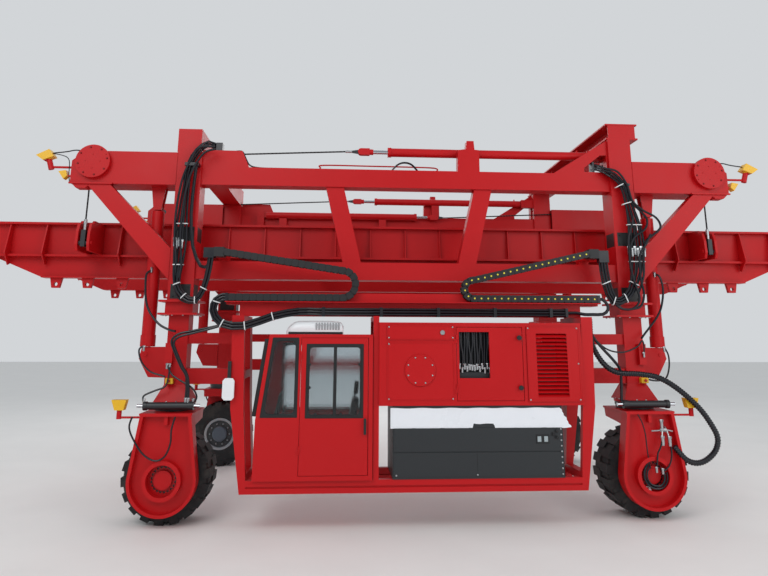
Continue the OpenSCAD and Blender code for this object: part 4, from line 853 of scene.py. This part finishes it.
# %% Carriers
# Columns: name, start of the upper run, middle of the half circle, end of the lower run, plugs or none.
carriers = (("left_cable_chain", (-2.81, 3.79), (-1.063, 3.33), -2.72, False),
            ("right_cable_chain", (2.715, 3.82), (0.909, 3.266), 2.80, True))
front, back, link_half = -2.745, -2.63, 0.05
for name, top, turn_at, end_x, dotted in carriers:
    places, angles, pitch = carrier_line(top, turn_at, end_x)
    plate = upright(slab(rect(-pitch * 0.56, pitch * 0.44, -0.052, 0.052), 0, 0.012, 0.02, 0.002))
    inner = upright(slab(rect(-pitch * 0.3, pitch * 0.56, -0.046, 0.046), 0, 0.008, 0.02, 0.002))
    bar = sideways(slab(rect(back - front - 0.11, back - front - 0.004, -0.006, 0.006),
                        -0.014, 0.014, 0.003, 0.001))
    forms = [along(plate, places, angles, front + 0.012), along(inner, places, angles, front + 0.017),
             along(plate, places, angles, back), along(inner, places, angles, back - 0.004)]
    core = upright(slab(rect(-pitch * 0.5, pitch * 0.5, -0.03, 0.03), 0, 0.05, 0.004, 0.001))
    forms += [along(core, places, angles, front + 0.085)]
    forms += [along(moved(bar, (0, front, side * 0.045)), places, angles, 0) for side in (-1, 1)]
    chain = piece(name + "_links", join(*forms), nylon, None)
    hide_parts(name)
    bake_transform(chain)
    if dotted:
        plug = outward([(0.013, 0), (0.013, 0.003), (0.009, 0.006)], 10)
        dots = piece(name + "_plugs", along(plug, places, angles, front), dot_yellow, None)
        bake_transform(dots)
    print(name, len(places), "links, pitch", round(pitch, 3))

# %% [markdown]
# ## Loose hoses and wires
# Besides the thick bundles, single hoses run from the frame to the cylinders, valves and
# lamps. Each route is a short list of points given in the plane of the side it
# lies on, and has both ends on one body.

# %% A crimped fitting
sleeve = [(0.004, -0.05), (0.017, -0.048), (0.0185, -0.03), (0.0185, 0.012), (0.012, 0.016), (0.012, 0.03)]
crimp = join(lathe(sleeve, 12), lathe([(0.022, 0.012), (0.0225, 0.028), (0.02, 0.032)], 6))

# %% Hoses that ride on one body
# Columns: body, radius, depth at the first and last end, and the (x, z) points.
single = {
    "right_thin_hose": ("near_lower", 0.012, (-2.62, -2.40), [
        (2.62, 2.84), (2.70, 2.648), (2.929, 2.413), (3.203, 2.349), (3.458, 2.429), (3.56, 2.52),
        (3.60, 2.44), (3.60, 2.30)]),
    "left_leg_hose": ("near_lower", 0.017, (-2.54, -2.56), [
        (-2.62, 2.80), (-2.9, 2.70), (-3.22, 2.615), (-3.42, 2.56), (-3.49, 2.47), (-3.43, 2.32),
        (-3.34, 2.14), (-3.25, 1.976), (-3.23, 1.64)]),
    "left_thin_hose": ("near_lower", 0.017, (-2.50, -2.55), [
        (-2.60, 2.80), (-2.894, 2.718), (-3.24, 2.645), (-3.44, 2.60), (-3.529, 2.50), (-3.473, 2.343),
        (-3.373, 2.145), (-3.275, 1.976), (-3.27, 1.64)]),
    "left_foot_hose": ("near_lower", 0.013, (-2.55, -2.395), [
        (-3.85, 1.63), (-3.868, 1.732), (-3.732, 1.80), (-3.592, 1.86), (-3.56, 2.0), (-3.56, 2.16)]),
    "left_foot_hose_2": ("near_lower", 0.013, (-2.55, -2.395), [
        (-3.16, 1.62), (-3.12, 1.72), (-3.2, 1.84), (-3.40, 1.952), (-3.52, 2.03), (-3.60, 2.16)]),
    "left_lift_hose": ("near_lower", 0.013, (-2.30, -2.30), [
        (-3.98, 2.431), (-4.049, 2.368), (-4.0, 2.2), (-3.862, 2.06), (-3.68, 2.0), (-3.64, 1.98)]),
    "right_lift_hose": ("near_lower", 0.013, (-2.30, -2.30), [
        (3.98, 2.431), (4.04, 2.30), (4.032, 2.109), (3.96, 1.95), (3.80, 1.92), (3.64, 1.95)]),
    "right_valve_hose": ("near_right_fork", 0.012, (-2.70, -2.70), [
        (3.64, 1.14), (3.60, 1.02), (3.55, 0.93), (3.53, 0.82), (3.51, 0.70)]),
    "right_valve_hose_2": ("near_right_fork", 0.012, (-2.70, -2.70), [
        (3.745, 1.12), (3.755, 1.0), (3.75, 0.88), (3.70, 0.76), (3.60, 0.68)]),
    "left_fork_hose": ("near_left_fork", 0.013, (-2.70, -2.71), [
        (-3.95, 1.47), (-3.98, 1.34), (-3.924, 1.195), (-3.771, 0.987), (-3.602, 0.895), (-3.471, 0.945),
        (-3.402, 1.113), (-3.40, 1.297), (-3.36, 1.47)]),
    "left_lamp_wire": ("upper_frame", 0.007, (-2.29, -2.29), [
        (-5.62, 5.36), (-5.50, 5.34), (-5.40, 5.30), (-5.36, 5.22), (-5.35, 5.05), (-5.33, 4.92),
        (-5.30, 4.89)]),
}
both_sides = ("left_foot_hose", "left_foot_hose_2", "left_lift_hose", "right_lift_hose", "left_fork_hose")
for name, (body, r, y, xz) in single.items():
    piece(name, hose(route(xz, y), r), hose_rubber, body)
    if name in both_sides:
        far = hose(route(xz, [-d for d in y]), r)
        piece("far_" + name, far, hose_rubber, body.replace("near", "far"))
print("hoses", len(single), "and", len(both_sides), "on the far side")

# %% [markdown]
# ## Hoses beside the thick bundles
# More single hoses hang beside the bundles at both ends, and two short ones arch over the
# beam. Each row gives a depth and the (x, z) points.

# %% Hoses beside the thick bundles
bundles = {
    "right_upper_hose": (-2.475, [
        (3.13, 5.22), (3.33, 5.165), (3.478, 4.962), (3.536, 4.731), (3.707, 4.55), (3.803, 4.415),
        (3.758, 4.263), (3.561, 4.11), (3.48, 3.87), (3.471, 3.576), (3.52, 3.33), (3.45, 3.22)]),
    "right_upper_hose_2": (-2.51, [
        (3.15, 5.24), (3.36, 5.19), (3.5, 4.98), (3.572, 4.713), (3.729, 4.562), (3.935, 4.443),
        (3.998, 4.293), (3.879, 4.171), (3.73, 4.049), (3.681, 3.84), (3.653, 3.517), (3.55, 3.25)]),
    "right_loop_hose": (-2.55, [
        (3.55, 4.45), (3.5, 4.281), (3.442, 4.101), (3.43, 3.864), (3.438, 3.629), (3.491, 3.368),
        (3.54, 3.167), (3.48, 3.04), (3.35, 2.99), (3.18, 3.04), (3.05, 3.307), (2.98, 3.6),
        (2.95, 3.78)]),
    "right_loop_hose_2": (-2.54, [
        (3.812, 4.168), (3.705, 3.988), (3.6, 3.808), (3.59, 3.457), (3.62, 3.227), (3.56, 3.05),
        (3.43, 3.0), (3.26, 3.0), (3.13, 3.15), (3.04, 3.45), (2.98, 3.78)]),
    "left_upper_hose": (-2.475, [
        (-3.1, 5.47), (-3.333, 5.46), (-3.456, 5.242), (-3.557, 4.948), (-3.612, 4.517), (-3.616, 4.095),
        (-3.565, 3.682), (-3.564, 3.342), (-3.497, 3.141), (-3.359, 3.06), (-3.21, 3.06)]),
    "left_upper_hose_2": (-2.5, [
        (-3.08, 5.43), (-3.25, 5.36), (-3.4, 5.1), (-3.48, 4.8), (-3.515, 4.442), (-3.519, 4.022),
        (-3.476, 3.611), (-3.519, 3.3), (-3.36, 3.12), (-3.2, 3.06)]),
    "left_beam_hose": (-2.22, [
        (-2.80, 5.48), (-2.70, 5.475), (-2.64, 5.36), (-2.57, 5.25), (-2.42, 5.212), (-2.1, 5.207),
        (-2.0, 5.2)]),
}
for name, (y, xz) in bundles.items():
    piece(name, hose(route(xz, y), 0.012 if "beam" in name else 0.018), hose_rubber, "upper_frame")
arcs = [hose(route([(-0.286, 5.2), (-0.188, 5.303), (-0.074, 5.339), (0.04, 5.307), (0.138, 5.2)], y), 0.011)
        for y in (-2.26, -2.22)]
piece("beam_top_hoses", join(*arcs), hose_rubber, "upper_frame")
print("hoses beside the bundles", len(bundles) + len(arcs))

# %% [markdown]
# ## Slack hoses, conduit and lamp cables
# A slack hose hangs from the slide to each leg, and a ribbed conduit runs from the frame to
# the right fork. Both join two bodies, but they ride on neither and stay where they are drawn.

# %% Slack hoses and lamp cables
slack = {
    "left": [
        (-4.0, 3.56), (-4.06, 3.50), (-4.05, 3.30), (-4.01, 3.09), (-3.93, 2.918), (-3.771, 2.744),
        (-3.6, 2.66), (-3.5, 2.64)],
    "right": [
        (4.0, 3.58), (4.07, 3.52), (4.08, 3.30), (4.0, 3.03), (3.88, 2.86), (3.74, 2.72), (3.63, 2.62),
        (3.56, 2.56)],
}
for side, xz in slack.items():
    line = route(xz, (-2.15, -2.46))
    drop_hose = piece(side + "_slack_hose", hose(line, 0.017), hose_rubber, None)
    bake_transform(drop_hose)
    piece(side + "_slack_fitting", moved(crimp, (xz[0][0], -2.155, 3.575)), zinc, "upper_frame")
for side, s in (("left", -1), ("right", 1)):
    cable = route([(5.66, 5.36), (5.60, 5.375), (5.494, 5.386), (5.391, 5.40), (5.289, 5.42), (5.18, 5.41),
                   (5.12, 5.38)], (-2.27, -2.31)) * (s, 1, 1)
    piece(side + "_lamp_cable", hose(cable, 0.010), hose_rubber, "upper_frame")
print("slack hoses", len(slack))

# %% Conduit and hoses at the right leg
bends = [(2.66, 2.83), (2.66, 2.60), (2.70, 2.40), (2.85, 2.17), (3.05, 2.06), (3.37, 2.04), (3.67, 1.984),
         (3.959, 1.813), (4.238, 1.558), (4.396, 1.334), (4.48, 1.139), (4.43, 0.96), (4.277, 0.83),
         (4.12, 0.79), (3.98, 0.84), (3.88, 0.95), (3.82, 1.02)]
ribbed = hose(route(bends, (-2.72, -2.66)), 0.039, sides=12, rib=0.005, pitch=0.036)
conduit = piece("right_conduit", ribbed, hose_rubber, None)
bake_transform(conduit)
thick = [(2.62, 2.84), (2.72, 2.60), (2.86, 2.42), (3.02, 2.25), (3.13, 2.10), (3.14, 1.9), (3.13, 1.64)]
piece("right_leg_hose", hose(route(thick, (-2.64, -2.55)), 0.022), hose_rubber, "near_lower")
valve_line = [(3.30, 1.47), (3.36, 1.35), (3.394, 1.20), (3.404, 1.064), (3.417, 0.874), (3.44, 0.72)]
hub = [(3.41, 0.80), (3.35, 0.70), (3.345, 0.58), (3.41, 0.48), (3.52, 0.445), (3.62, 0.47), (3.68, 0.56),
       (3.68, 0.67)]
loops = [hose(route(np.array(hub) * k + np.array((leg_x, 0.6)) * (1 - k), y), 0.012)
         for k, y in ((1.0, -2.655), (0.86, -2.64), (0.74, -2.66))]
piece("right_hub_hoses", join(*loops), hose_rubber, "near_right_fork")
piece("right_valve_line", hose(route(valve_line, (-2.69, -2.66)), 0.009), hose_rubber, "near_right_fork")
pipe = hose([(0.50, -1.915, 5.29), (0.50, -1.915, 5.33), (0.3, -1.93, 5.345), (-0.6, -1.95, 5.345),
             (-1.4, -1.95, 5.345), (-1.45, -1.95, 5.3), (-1.46, -2.03, 5.24), (-1.46, -2.10, 5.19)], 0.012)
piece("hoist_oil_pipe", pipe, red_paint, "upper_frame")
print("conduit points", len(bends), "hub hoses", len(loops))

# %% [markdown]
# ## Ties and fittings
# White cable ties hold the bundles together every few hundred millimetres, and the hoses
# end in bright crimped fittings. A tie is a thin rounded band whose ring stands square to
# the bundle. A fitting is a turned profile with a hexagon in its middle.


# %% Ties
def band(place, way, across, deep, tall=0.014, wall=0.004):
    """A rounded rectangular ring about a place, its hole along way, in the plane of X and Z."""
    small = min(across, deep)
    outer = rounded(rect(-across - wall, across + wall, -deep - wall, deep + wall), 0, small * 0.9)
    inner = rounded(rect(-across, across, -deep, deep), 0, small * 0.85)
    half = tall / 2
    rows = [ring_at(o, h) for o, h in ((outer, -half), (outer, half), (inner, half), (inner, -half))]
    v, f = loft(np.stack(rows), False)
    d = np.array([way[0], 0, way[1]]) / np.hypot(*way)
    u = np.cross(d, (0, 1, 0))
    return v @ np.array([u, (0, 1, 0), d]) + place, f


# Columns: place, direction in x and z, and the bundle's half width and half depth.
upper_ties = [
    ((-3.535, -2.43, 4.25), (0, 1), 0.098, 0.030), ((-3.533, -2.45, 3.62), (0, 1), 0.080, 0.032),
    ((-3.52, -2.52, 3.33), (-0.4, 1), 0.052, 0.040), ((-3.40, -2.545, 3.15), (-1, 1), 0.052, 0.040),
    ((-3.225, -2.57, 3.09), (1, 0.05), 0.052, 0.040), ((-3.10, -2.62, 3.26), (0.5, 1), 0.052, 0.040),
    ((3.40, -2.45, 4.97), (-0.5, 1), 0.075, 0.045), ((3.50, -2.45, 4.68), (-0.3, 1), 0.08, 0.045),
    ((3.60, -2.44, 4.33), (0, 1), 0.12, 0.03), ((3.59, -2.45, 3.74), (0, 1), 0.13, 0.030),
    ((3.50, -2.48, 3.39), (0.5, 1), 0.08, 0.040), ((3.32, -2.54, 3.16), (1, 0.4), 0.07, 0.040),
    ((3.11, -2.59, 3.12), (1, -0.4), 0.07, 0.040), ((2.99, -2.64, 3.39), (-0.4, 1), 0.07, 0.040)]
lower_ties = [((-2.885, -2.72, 3.06), (0.3, 1), 0.06, 0.042), ((-2.74, -3.0, 2.745), (1, -0.5), 0.06, 0.042),
              ((-2.42, -3.0, 2.715), (1, 0.15), 0.06, 0.042), ((-2.05, -2.86, 2.85), (1, 0.3), 0.06, 0.042)]
piece("upper_hose_ties", join(*[band(*t) for t in upper_ties]), tie_nylon, "upper_frame")
piece("lower_hose_ties", join(*[band(*t) for t in lower_ties]), tie_nylon, "near_lower")
print("ties", len(upper_ties) + len(lower_ties))

# %% Fittings
upper_spots = [(-3.61 + 0.035 * k, -2.45, 3.98 - 0.03 * (k % 2)) for k in range(4)]
upper_spots += [(3.47 + 0.05 * k, -2.46, 3.93 - 0.03 * (k % 2)) for k in range(6)]
thick_crimp = (crimp[0] * (1.4, 1.4, 1.7), crimp[1])
piece("bundle_fittings", repeat(thick_crimp, upper_spots), zinc, "upper_frame")
leg_spots = [(-3.85, -2.55, 1.67), (-3.56, -2.395, 2.15), (-3.60, -2.395, 2.15), (-3.16, -2.55, 1.67),
             (3.98, -2.30, 2.40), (-3.98, -2.30, 2.40), (3.60, -2.40, 2.32), (-3.27, -2.55, 1.68),
             (-3.23, -2.56, 1.68)]
piece("leg_fittings", repeat(crimp, leg_spots), zinc, "near_lower")
tee = [hose([(3.50, -2.655, 1.235), (3.60, -2.66, 1.24), (3.70, -2.66, 1.25), (3.82, -2.655, 1.23)],
            0.011, 10, 2),
       hose([(3.66, -2.66, 1.34), (3.665, -2.66, 1.26), (3.64, -2.68, 1.14)], 0.012, 10, 3),
       hose([(3.72, -2.62, 1.29), (3.73, -2.66, 1.24), (3.745, -2.69, 1.13)], 0.012, 10, 3),
       moved(facing(lathe([(0.024, -0.05), (0.027, -0.03), (0.027, 0.03), (0.024, 0.05)], 6), (1, 0, 0)),
             (3.68, -2.655, 1.245))]
caps = repeat(thick_crimp, [(3.64, -2.695, 1.12), (3.745, -2.695, 1.11), (3.66, -2.66, 1.34)])
ends = repeat(crimp, [(3.51, -2.70, 0.72), (3.60, -2.70, 0.70)])
piece("right_fork_fittings", join(*tee, caps, ends), zinc, "near_right_fork")
valve = lathe([(0.012, -0.06), (0.022, -0.058), (0.024, 0.0), (0.016, 0.008), (0.014, 0.03), (0.02, 0.034),
               (0.02, 0.045), (0.006, 0.048)], 16)
tap = join(moved(valve, (3.43, -2.60, 0.43)),
           hose([(3.38, -2.60, 0.465), (3.43, -2.60, 0.462), (3.48, -2.60, 0.465)], 0.007, 8, 2))
piece("right_fork_tap", tap, white_plastic, "near_right_fork")
print("fittings", len(upper_spots) + len(leg_spots) + len(tee))

# %% [markdown]
# ## Bolts and nuts
# Rows of bolts hold the collars, the leg feet, the slide pads and the sheave covers. They
# are copies of one low hexagon head. The wheel nuts are taller, and roll with their wheels.

# %% Bolts on the frames
def ring_of(r, count, turn=0.0):
    """Places on a circle in the plane of X and Y."""
    a = np.arange(count) * 2 * np.pi / count + turn
    return np.c_[r * np.cos(a), r * np.sin(a), np.zeros(count)]


def frame_bolts(face):
    """Bolts of one lower frame: a square of them under each collar, and a ring on each foot."""
    parts, collar_z, foot_z = [], 2.88, 1.64
    edge, rim = np.linspace(-0.24, 0.24, 4), 0.258
    square = np.r_[[(a, s, 0) for s in (-rim, rim) for a in edge],
                   [(s, a, 0) for s in (-rim, rim) for a in edge[1:-1]]]
    for x in (-leg_x, leg_x):
        under = repeat(facing(hex_head, (0, 0, -1)), square + (x, face * leg_y, collar_z))
        foot = repeat(hex_head, ring_of(0.275, 12, 0.26) + (x, face * leg_y, foot_z))
        parts += [under, foot]
    return join(*parts)


def pad_screws(face):
    """Four screws on the outer face of each slide pad."""
    places = [(x + a, face * (leg_y + 0.19), z)
              for x in (-leg_x, leg_x) for z in (3.16, 3.3, 4.04, 4.18) for a in (-0.11, 0.11)]
    return repeat(facing(hex_head, (0, face, 0)), places)


def cover_bolts(face):
    """Eight bolts round the rim of each sheave cover of one side."""
    ring = ring_of(0.222, 8, 0.2)[:, [0, 2, 1]]
    places = [ring + (x, face * 2.4295, sheave_z) for x in (-sheave_x, sheave_x)]
    return repeat(facing(hex_head, (0, face, 0)), np.concatenate(places))


for side, face in (("near", -1), ("far", 1)):
    piece(side + "_cover_bolts", cover_bolts(face), dark_red, "upper_frame")
    piece(side + "_pad_screws", pad_screws(face), nylon, "upper_frame")
piece("near_frame_bolts", frame_bolts(-1), zinc, "near_lower")
piece("far_frame_bolts", frame_bolts(1), zinc, "far_lower")
nut = lathe([(0.019, 0), (0.019, 0.018), (0.014, 0.024), (0.011, 0.034), (0.002, 0.035)], 6)
ring = ring_of(0.2, 10)[:, [0, 2, 1]]
for corner, x_way, y_way in corners:
    nuts = repeat(facing(nut, (0, -y_way, 0)), ring + (x_way * leg_x, y_way * (leg_y - 0.225), wheel_z))
    piece(corner + "_wheel_nuts", nuts, zinc, corner + "_wheel")
print("wheel nuts", len(ring) * len(corners))

# %% [markdown]
# ## Film on the power box
# A strip of white film lies flat on the face of the power box, torn at its right end. It is
# one thin sheet with small ripples, thickest where it is stuck, and it touches the box all
# along. Its outline is cut in the sheet's own grid: the lower edge has a notch and the right
# edge runs slanted and ragged.

# %% Film
n, m = 161, 28  # points along the strip and across it
left, box_face, film_t = -0.36, -2.9612, 0.0006
u, w = np.meshgrid(np.linspace(0, 1, n), np.linspace(0, 1, m), indexing="ij")
foot = 1.327 + 0.06 * ((u > 0.455) & (u < 0.57)) + 0.006 * np.sin(u * 61) * np.sin(u * 17)
head = 1.596 + 0.004 * np.sin(u * 37 + 1)
z = foot + (head - foot) * w
right = 2.199 - 0.147 * w + 0.012 * np.sin(w * 23) * np.sin(w * 7 + 1)
x = left + (right - left) * u
ripple = 0.0016 * (1 + np.sin(x * 33 + 3 * np.sin(z * 11))) * (0.5 + 0.5 * np.sin(x * 7 + z * 9)) + 0.0004
face = np.stack([x, box_face - ripple, z], -1)
rear = face + (0, film_t, 0)
i, j = np.mgrid[0 : n - 1, 0 : m - 1]
quads = np.stack([i * m + j, (i + 1) * m + j, (i + 1) * m + j + 1, i * m + j + 1], -1).reshape(-1, 4)
edge = np.r_[np.arange(n) * m, (n - 1) * m + np.arange(1, m), np.arange(n - 2, -1, -1) * m + m - 1,
             np.arange(m - 2, 0, -1)]
rim_faces = np.stack([edge, np.roll(edge, -1), np.roll(edge, -1) + n * m, edge + n * m], 1)
film_form = (np.r_[face.reshape(-1, 3), rear.reshape(-1, 3)],
             [quads, quads[:, ::-1] + n * m, rim_faces[:, ::-1]])
film = piece("box_film", film_form, film_white, "near_lower")
print("film", n * m, "points a side")

# %% [markdown]
# ## Housing details
# The sheet housing has raised panels with a narrow lip, a round bolted cover, small dome
# screws in the corners, a gauge and two star-shaped latches. Behind the open window of its
# door hangs a row of hoses in front of a dark oil cooler.

# %% Lips, screws and latches
def lip(corners, wide, proud, r=0.01):
    """A narrow raised ring along an outline, drawn in X and Y and standing up along Z."""
    outer, inner = rounded(corners, 0, r), rounded(corners, -wide, r)
    levels = [(outer, 0), (outer, proud), (inner, proud), (inner, 0)]
    return loft(np.stack([ring_at(o, h) for o, h in levels]), False)


def on_face(form, y):
    """Sets a form that stands along Z onto a side face at y, looking towards -Y."""
    return moved(upright(form), (0, y, 0))


body_y = -2.989
lips = [on_face(lip(rect(*sides), wide, proud), body_y) for sides, wide, proud in (
    ((-0.41, 0.555, 2.53, 2.735), 0.014, 0.014), ((-0.41, 0.545, 1.70, 2.50), 0.012, 0.008),
    ((1.60, 2.37, 1.68, 2.72), 0.014, 0.018))]
cover = outward([(0.2, 0), (0.222, 0), (0.222, 0.006), (0.216, 0.02), (0.205, 0.022), (0.2, 0.018)], 48)
piece("housing_panel_lips", join(*lips, moved(cover, (0.06, -2.99, 2.11))), sheet_paint, "near_lower")
dome = outward([(0.013, -0.004), (0.013, 0.002), (0.010, 0.0065), (0.004, 0.009)], 10)
corner_screws = [(x, -3.0, z) for x in (-0.385, 0.53) for z in (2.558, 2.706)]
corner_screws += [(x, -3.004, z) for x in (1.625, 2.345) for z in (1.705, 2.695)] + [(2.345, -3.004, 2.2)]
corner_screws += [(-0.385, -2.99, 1.72), (-0.385, -2.99, 2.47), (0.52, -2.99, 1.72)]
around = ring_of(0.185, 8, 0.39)[:, [0, 2, 1]] + (0.06, -3.009, 2.11)
piece("housing_screws", repeat(dome, np.r_[corner_screws, around]), zinc, "near_lower")
arm = np.linspace(0, 2 * np.pi, 40, endpoint=False)
star_r = 0.026 + 0.01 * np.cos(4 * arm)
outline = np.c_[np.cos(arm) * star_r, np.sin(arm) * star_r]
star = loft(np.stack([ring_at(outline * g, h)
                      for h, g in ((0, 0.5), (0.012, 0.6), (0.014, 1), (0.03, 1), (0.036, 0.85))]))
piece("door_latches", repeat(upright(star), [(1.49, -3.0, 1.87), (1.49, -3.0, 2.56)]), nylon, "housing_door")
gauge_at = (0.383, -2.999, 2.63)
gauge = outward([(0.03, 0), (0.034, 0), (0.034, 0.016), (0.03, 0.02), (0.027, 0.016)])
piece("gauge_ring", moved(gauge, gauge_at), zinc, "near_lower")
piece("gauge_dial", moved(outward([(0.028, 0), (0.028, 0.013)]), gauge_at), white_plastic, "near_lower")
print("screws", len(corner_screws) + len(around))

# %% Hoses and cooler behind the window
tubes, ends = [], []
for k in range(14):
    x = 0.60 + 0.037 * k
    sway = 0.012 * np.sin(k * 2.3)
    low_z = 2.12 + 0.07 * np.abs(np.sin(k * 1.7))
    tubes.append(hose([(x, -2.90, 2.74), (x + sway, -2.905, 2.5), (x - sway, -2.90, 2.3),
                       (x, -2.895, low_z)], 0.0125))
    ends.append((x, -2.895, low_z - 0.02))
piece("inner_hoses", join(*tubes), hose_rubber, "near_lower")
piece("inner_fittings", repeat(crimp, ends), zinc, "near_lower")
fins = repeat(upright(slab(rect(-0.262, 0.262, -0.0015, 0.0015), 0, 0.03, 0.001, 0.0005)),
              [(0.855, -2.84, z) for z in np.arange(1.93, 2.74, 0.018)])
core = moved(upright(slab(rect(-0.275, 0.275, -0.42, 0.42), 0, 0.05, 0.01)), (0.855, -2.79, 2.335))
manifold = moved(upright(slab(rect(-0.27, 0.27, -0.05, 0.05), 0, 0.05, 0.008)), (0.855, -2.845, 2.03))
piece("oil_cooler", join(fins, core, manifold), dark_paint, "near_lower")
bracket = sideways(slab(rect(-2.85, -2.10, 1.90, 1.94), -0.02, 0.02, 0.004))
rails = repeat(bracket, [(0.62, 0, 0), (1.09, 0, 0)])
piece("oil_cooler_rails", rails, red_paint, "near_lower")
print("hoses behind the window", len(tubes))

# %% [markdown]
# ## Power box details
# The grey box has a control panel with two small displays and three knobs, a column of
# screws at its right edge and a narrow seam between its sheets.

# %% Power box
box_y, panel_y = -2.9695, -2.9745
panel = on_face(slab(rect(1.685, 1.872, 1.12, 1.239), 0, 0.006, 0.006, 0.002), box_y)
frames, glasses = [], []
for x in (1.695, 1.79):
    frames.append(on_face(lip(rect(x, x + 0.07, 1.135, 1.225), 0.006, 0.006, 0.004), panel_y))
    glasses.append(on_face(slab(rect(x + 0.008, x + 0.062, 1.143, 1.217), 0, 0.004, 0.002, 0.001), panel_y))
piece("display_panel", join(panel, *frames), nylon, "near_lower")
piece("displays", join(*glasses), display_grey, "near_lower")
knob = outward([(0.03, 0), (0.03, 0.006), (0.018, 0.008), (0.016, 0.028), (0.012, 0.032)], 20)
knobs = [(x, -2.969, z) for x, z in ((1.981, 1.203), (1.981, 1.285), (1.93, 1.245))]
piece("switch_knobs", repeat(knob, knobs), nylon, "near_lower")
column = [(2.045, box_y, z) for z in np.linspace(0.72, 1.31, 9)]
piece("box_screws", repeat(dome, column + [(0.845, box_y, 0.72), (-0.28, box_y, 0.72)]), zinc, "near_lower")
strip = on_face(slab(rect(0.842, 0.848, 0.705, 1.005), 0, 0.002, 0.001, 0.0005), -2.969)
piece("box_seam", strip, seal_rubber, "near_lower")
print("displays", len(glasses), "screws", len(column) + 2)

# %% [markdown]
# ## Stop buttons and pane clips
# The yellow boxes on the legs carry a red stop button shaped like a mushroom. Small black
# clips hold the panes of the cab door.

# %% Stop buttons and pane clips
stop_box = on_face(slab(rect(-0.055, 0.055, -0.04, 0.04), 0, 0.085, 0.01), -2.31)
leg_boxes = [(-3.558, 1.93), (3.592, 1.93)]
piece("stop_boxes", repeat(stop_box, [(x, 0, z) for x, z in leg_boxes]), yellow_plastic, "near_lower")
button = outward([(0.012, 0), (0.012, 0.012), (0.021, 0.016), (0.022, 0.026), (0.016, 0.032),
                  (0.004, 0.034)], 20)
piece("stop_buttons", repeat(button, [(x, -2.394, z) for x, z in leg_boxes]), button_red, "near_lower")
clips = [(-1.49, 2.19), (-1.49, 1.88), (-0.80, 2.19), (-1.40, 1.53), (-1.05, 1.53)]
clip = outward([(0.012, 0), (0.012, 0.008), (0.02, 0.01), (0.02, 0.02), (0.012, 0.024)], 12)
piece("pane_clips", repeat(clip, [(x, cab_face - 0.006, z) for x, z in clips]), nylon, "cab_door")
print("stop buttons", len(leg_boxes), "clips", len(clips))
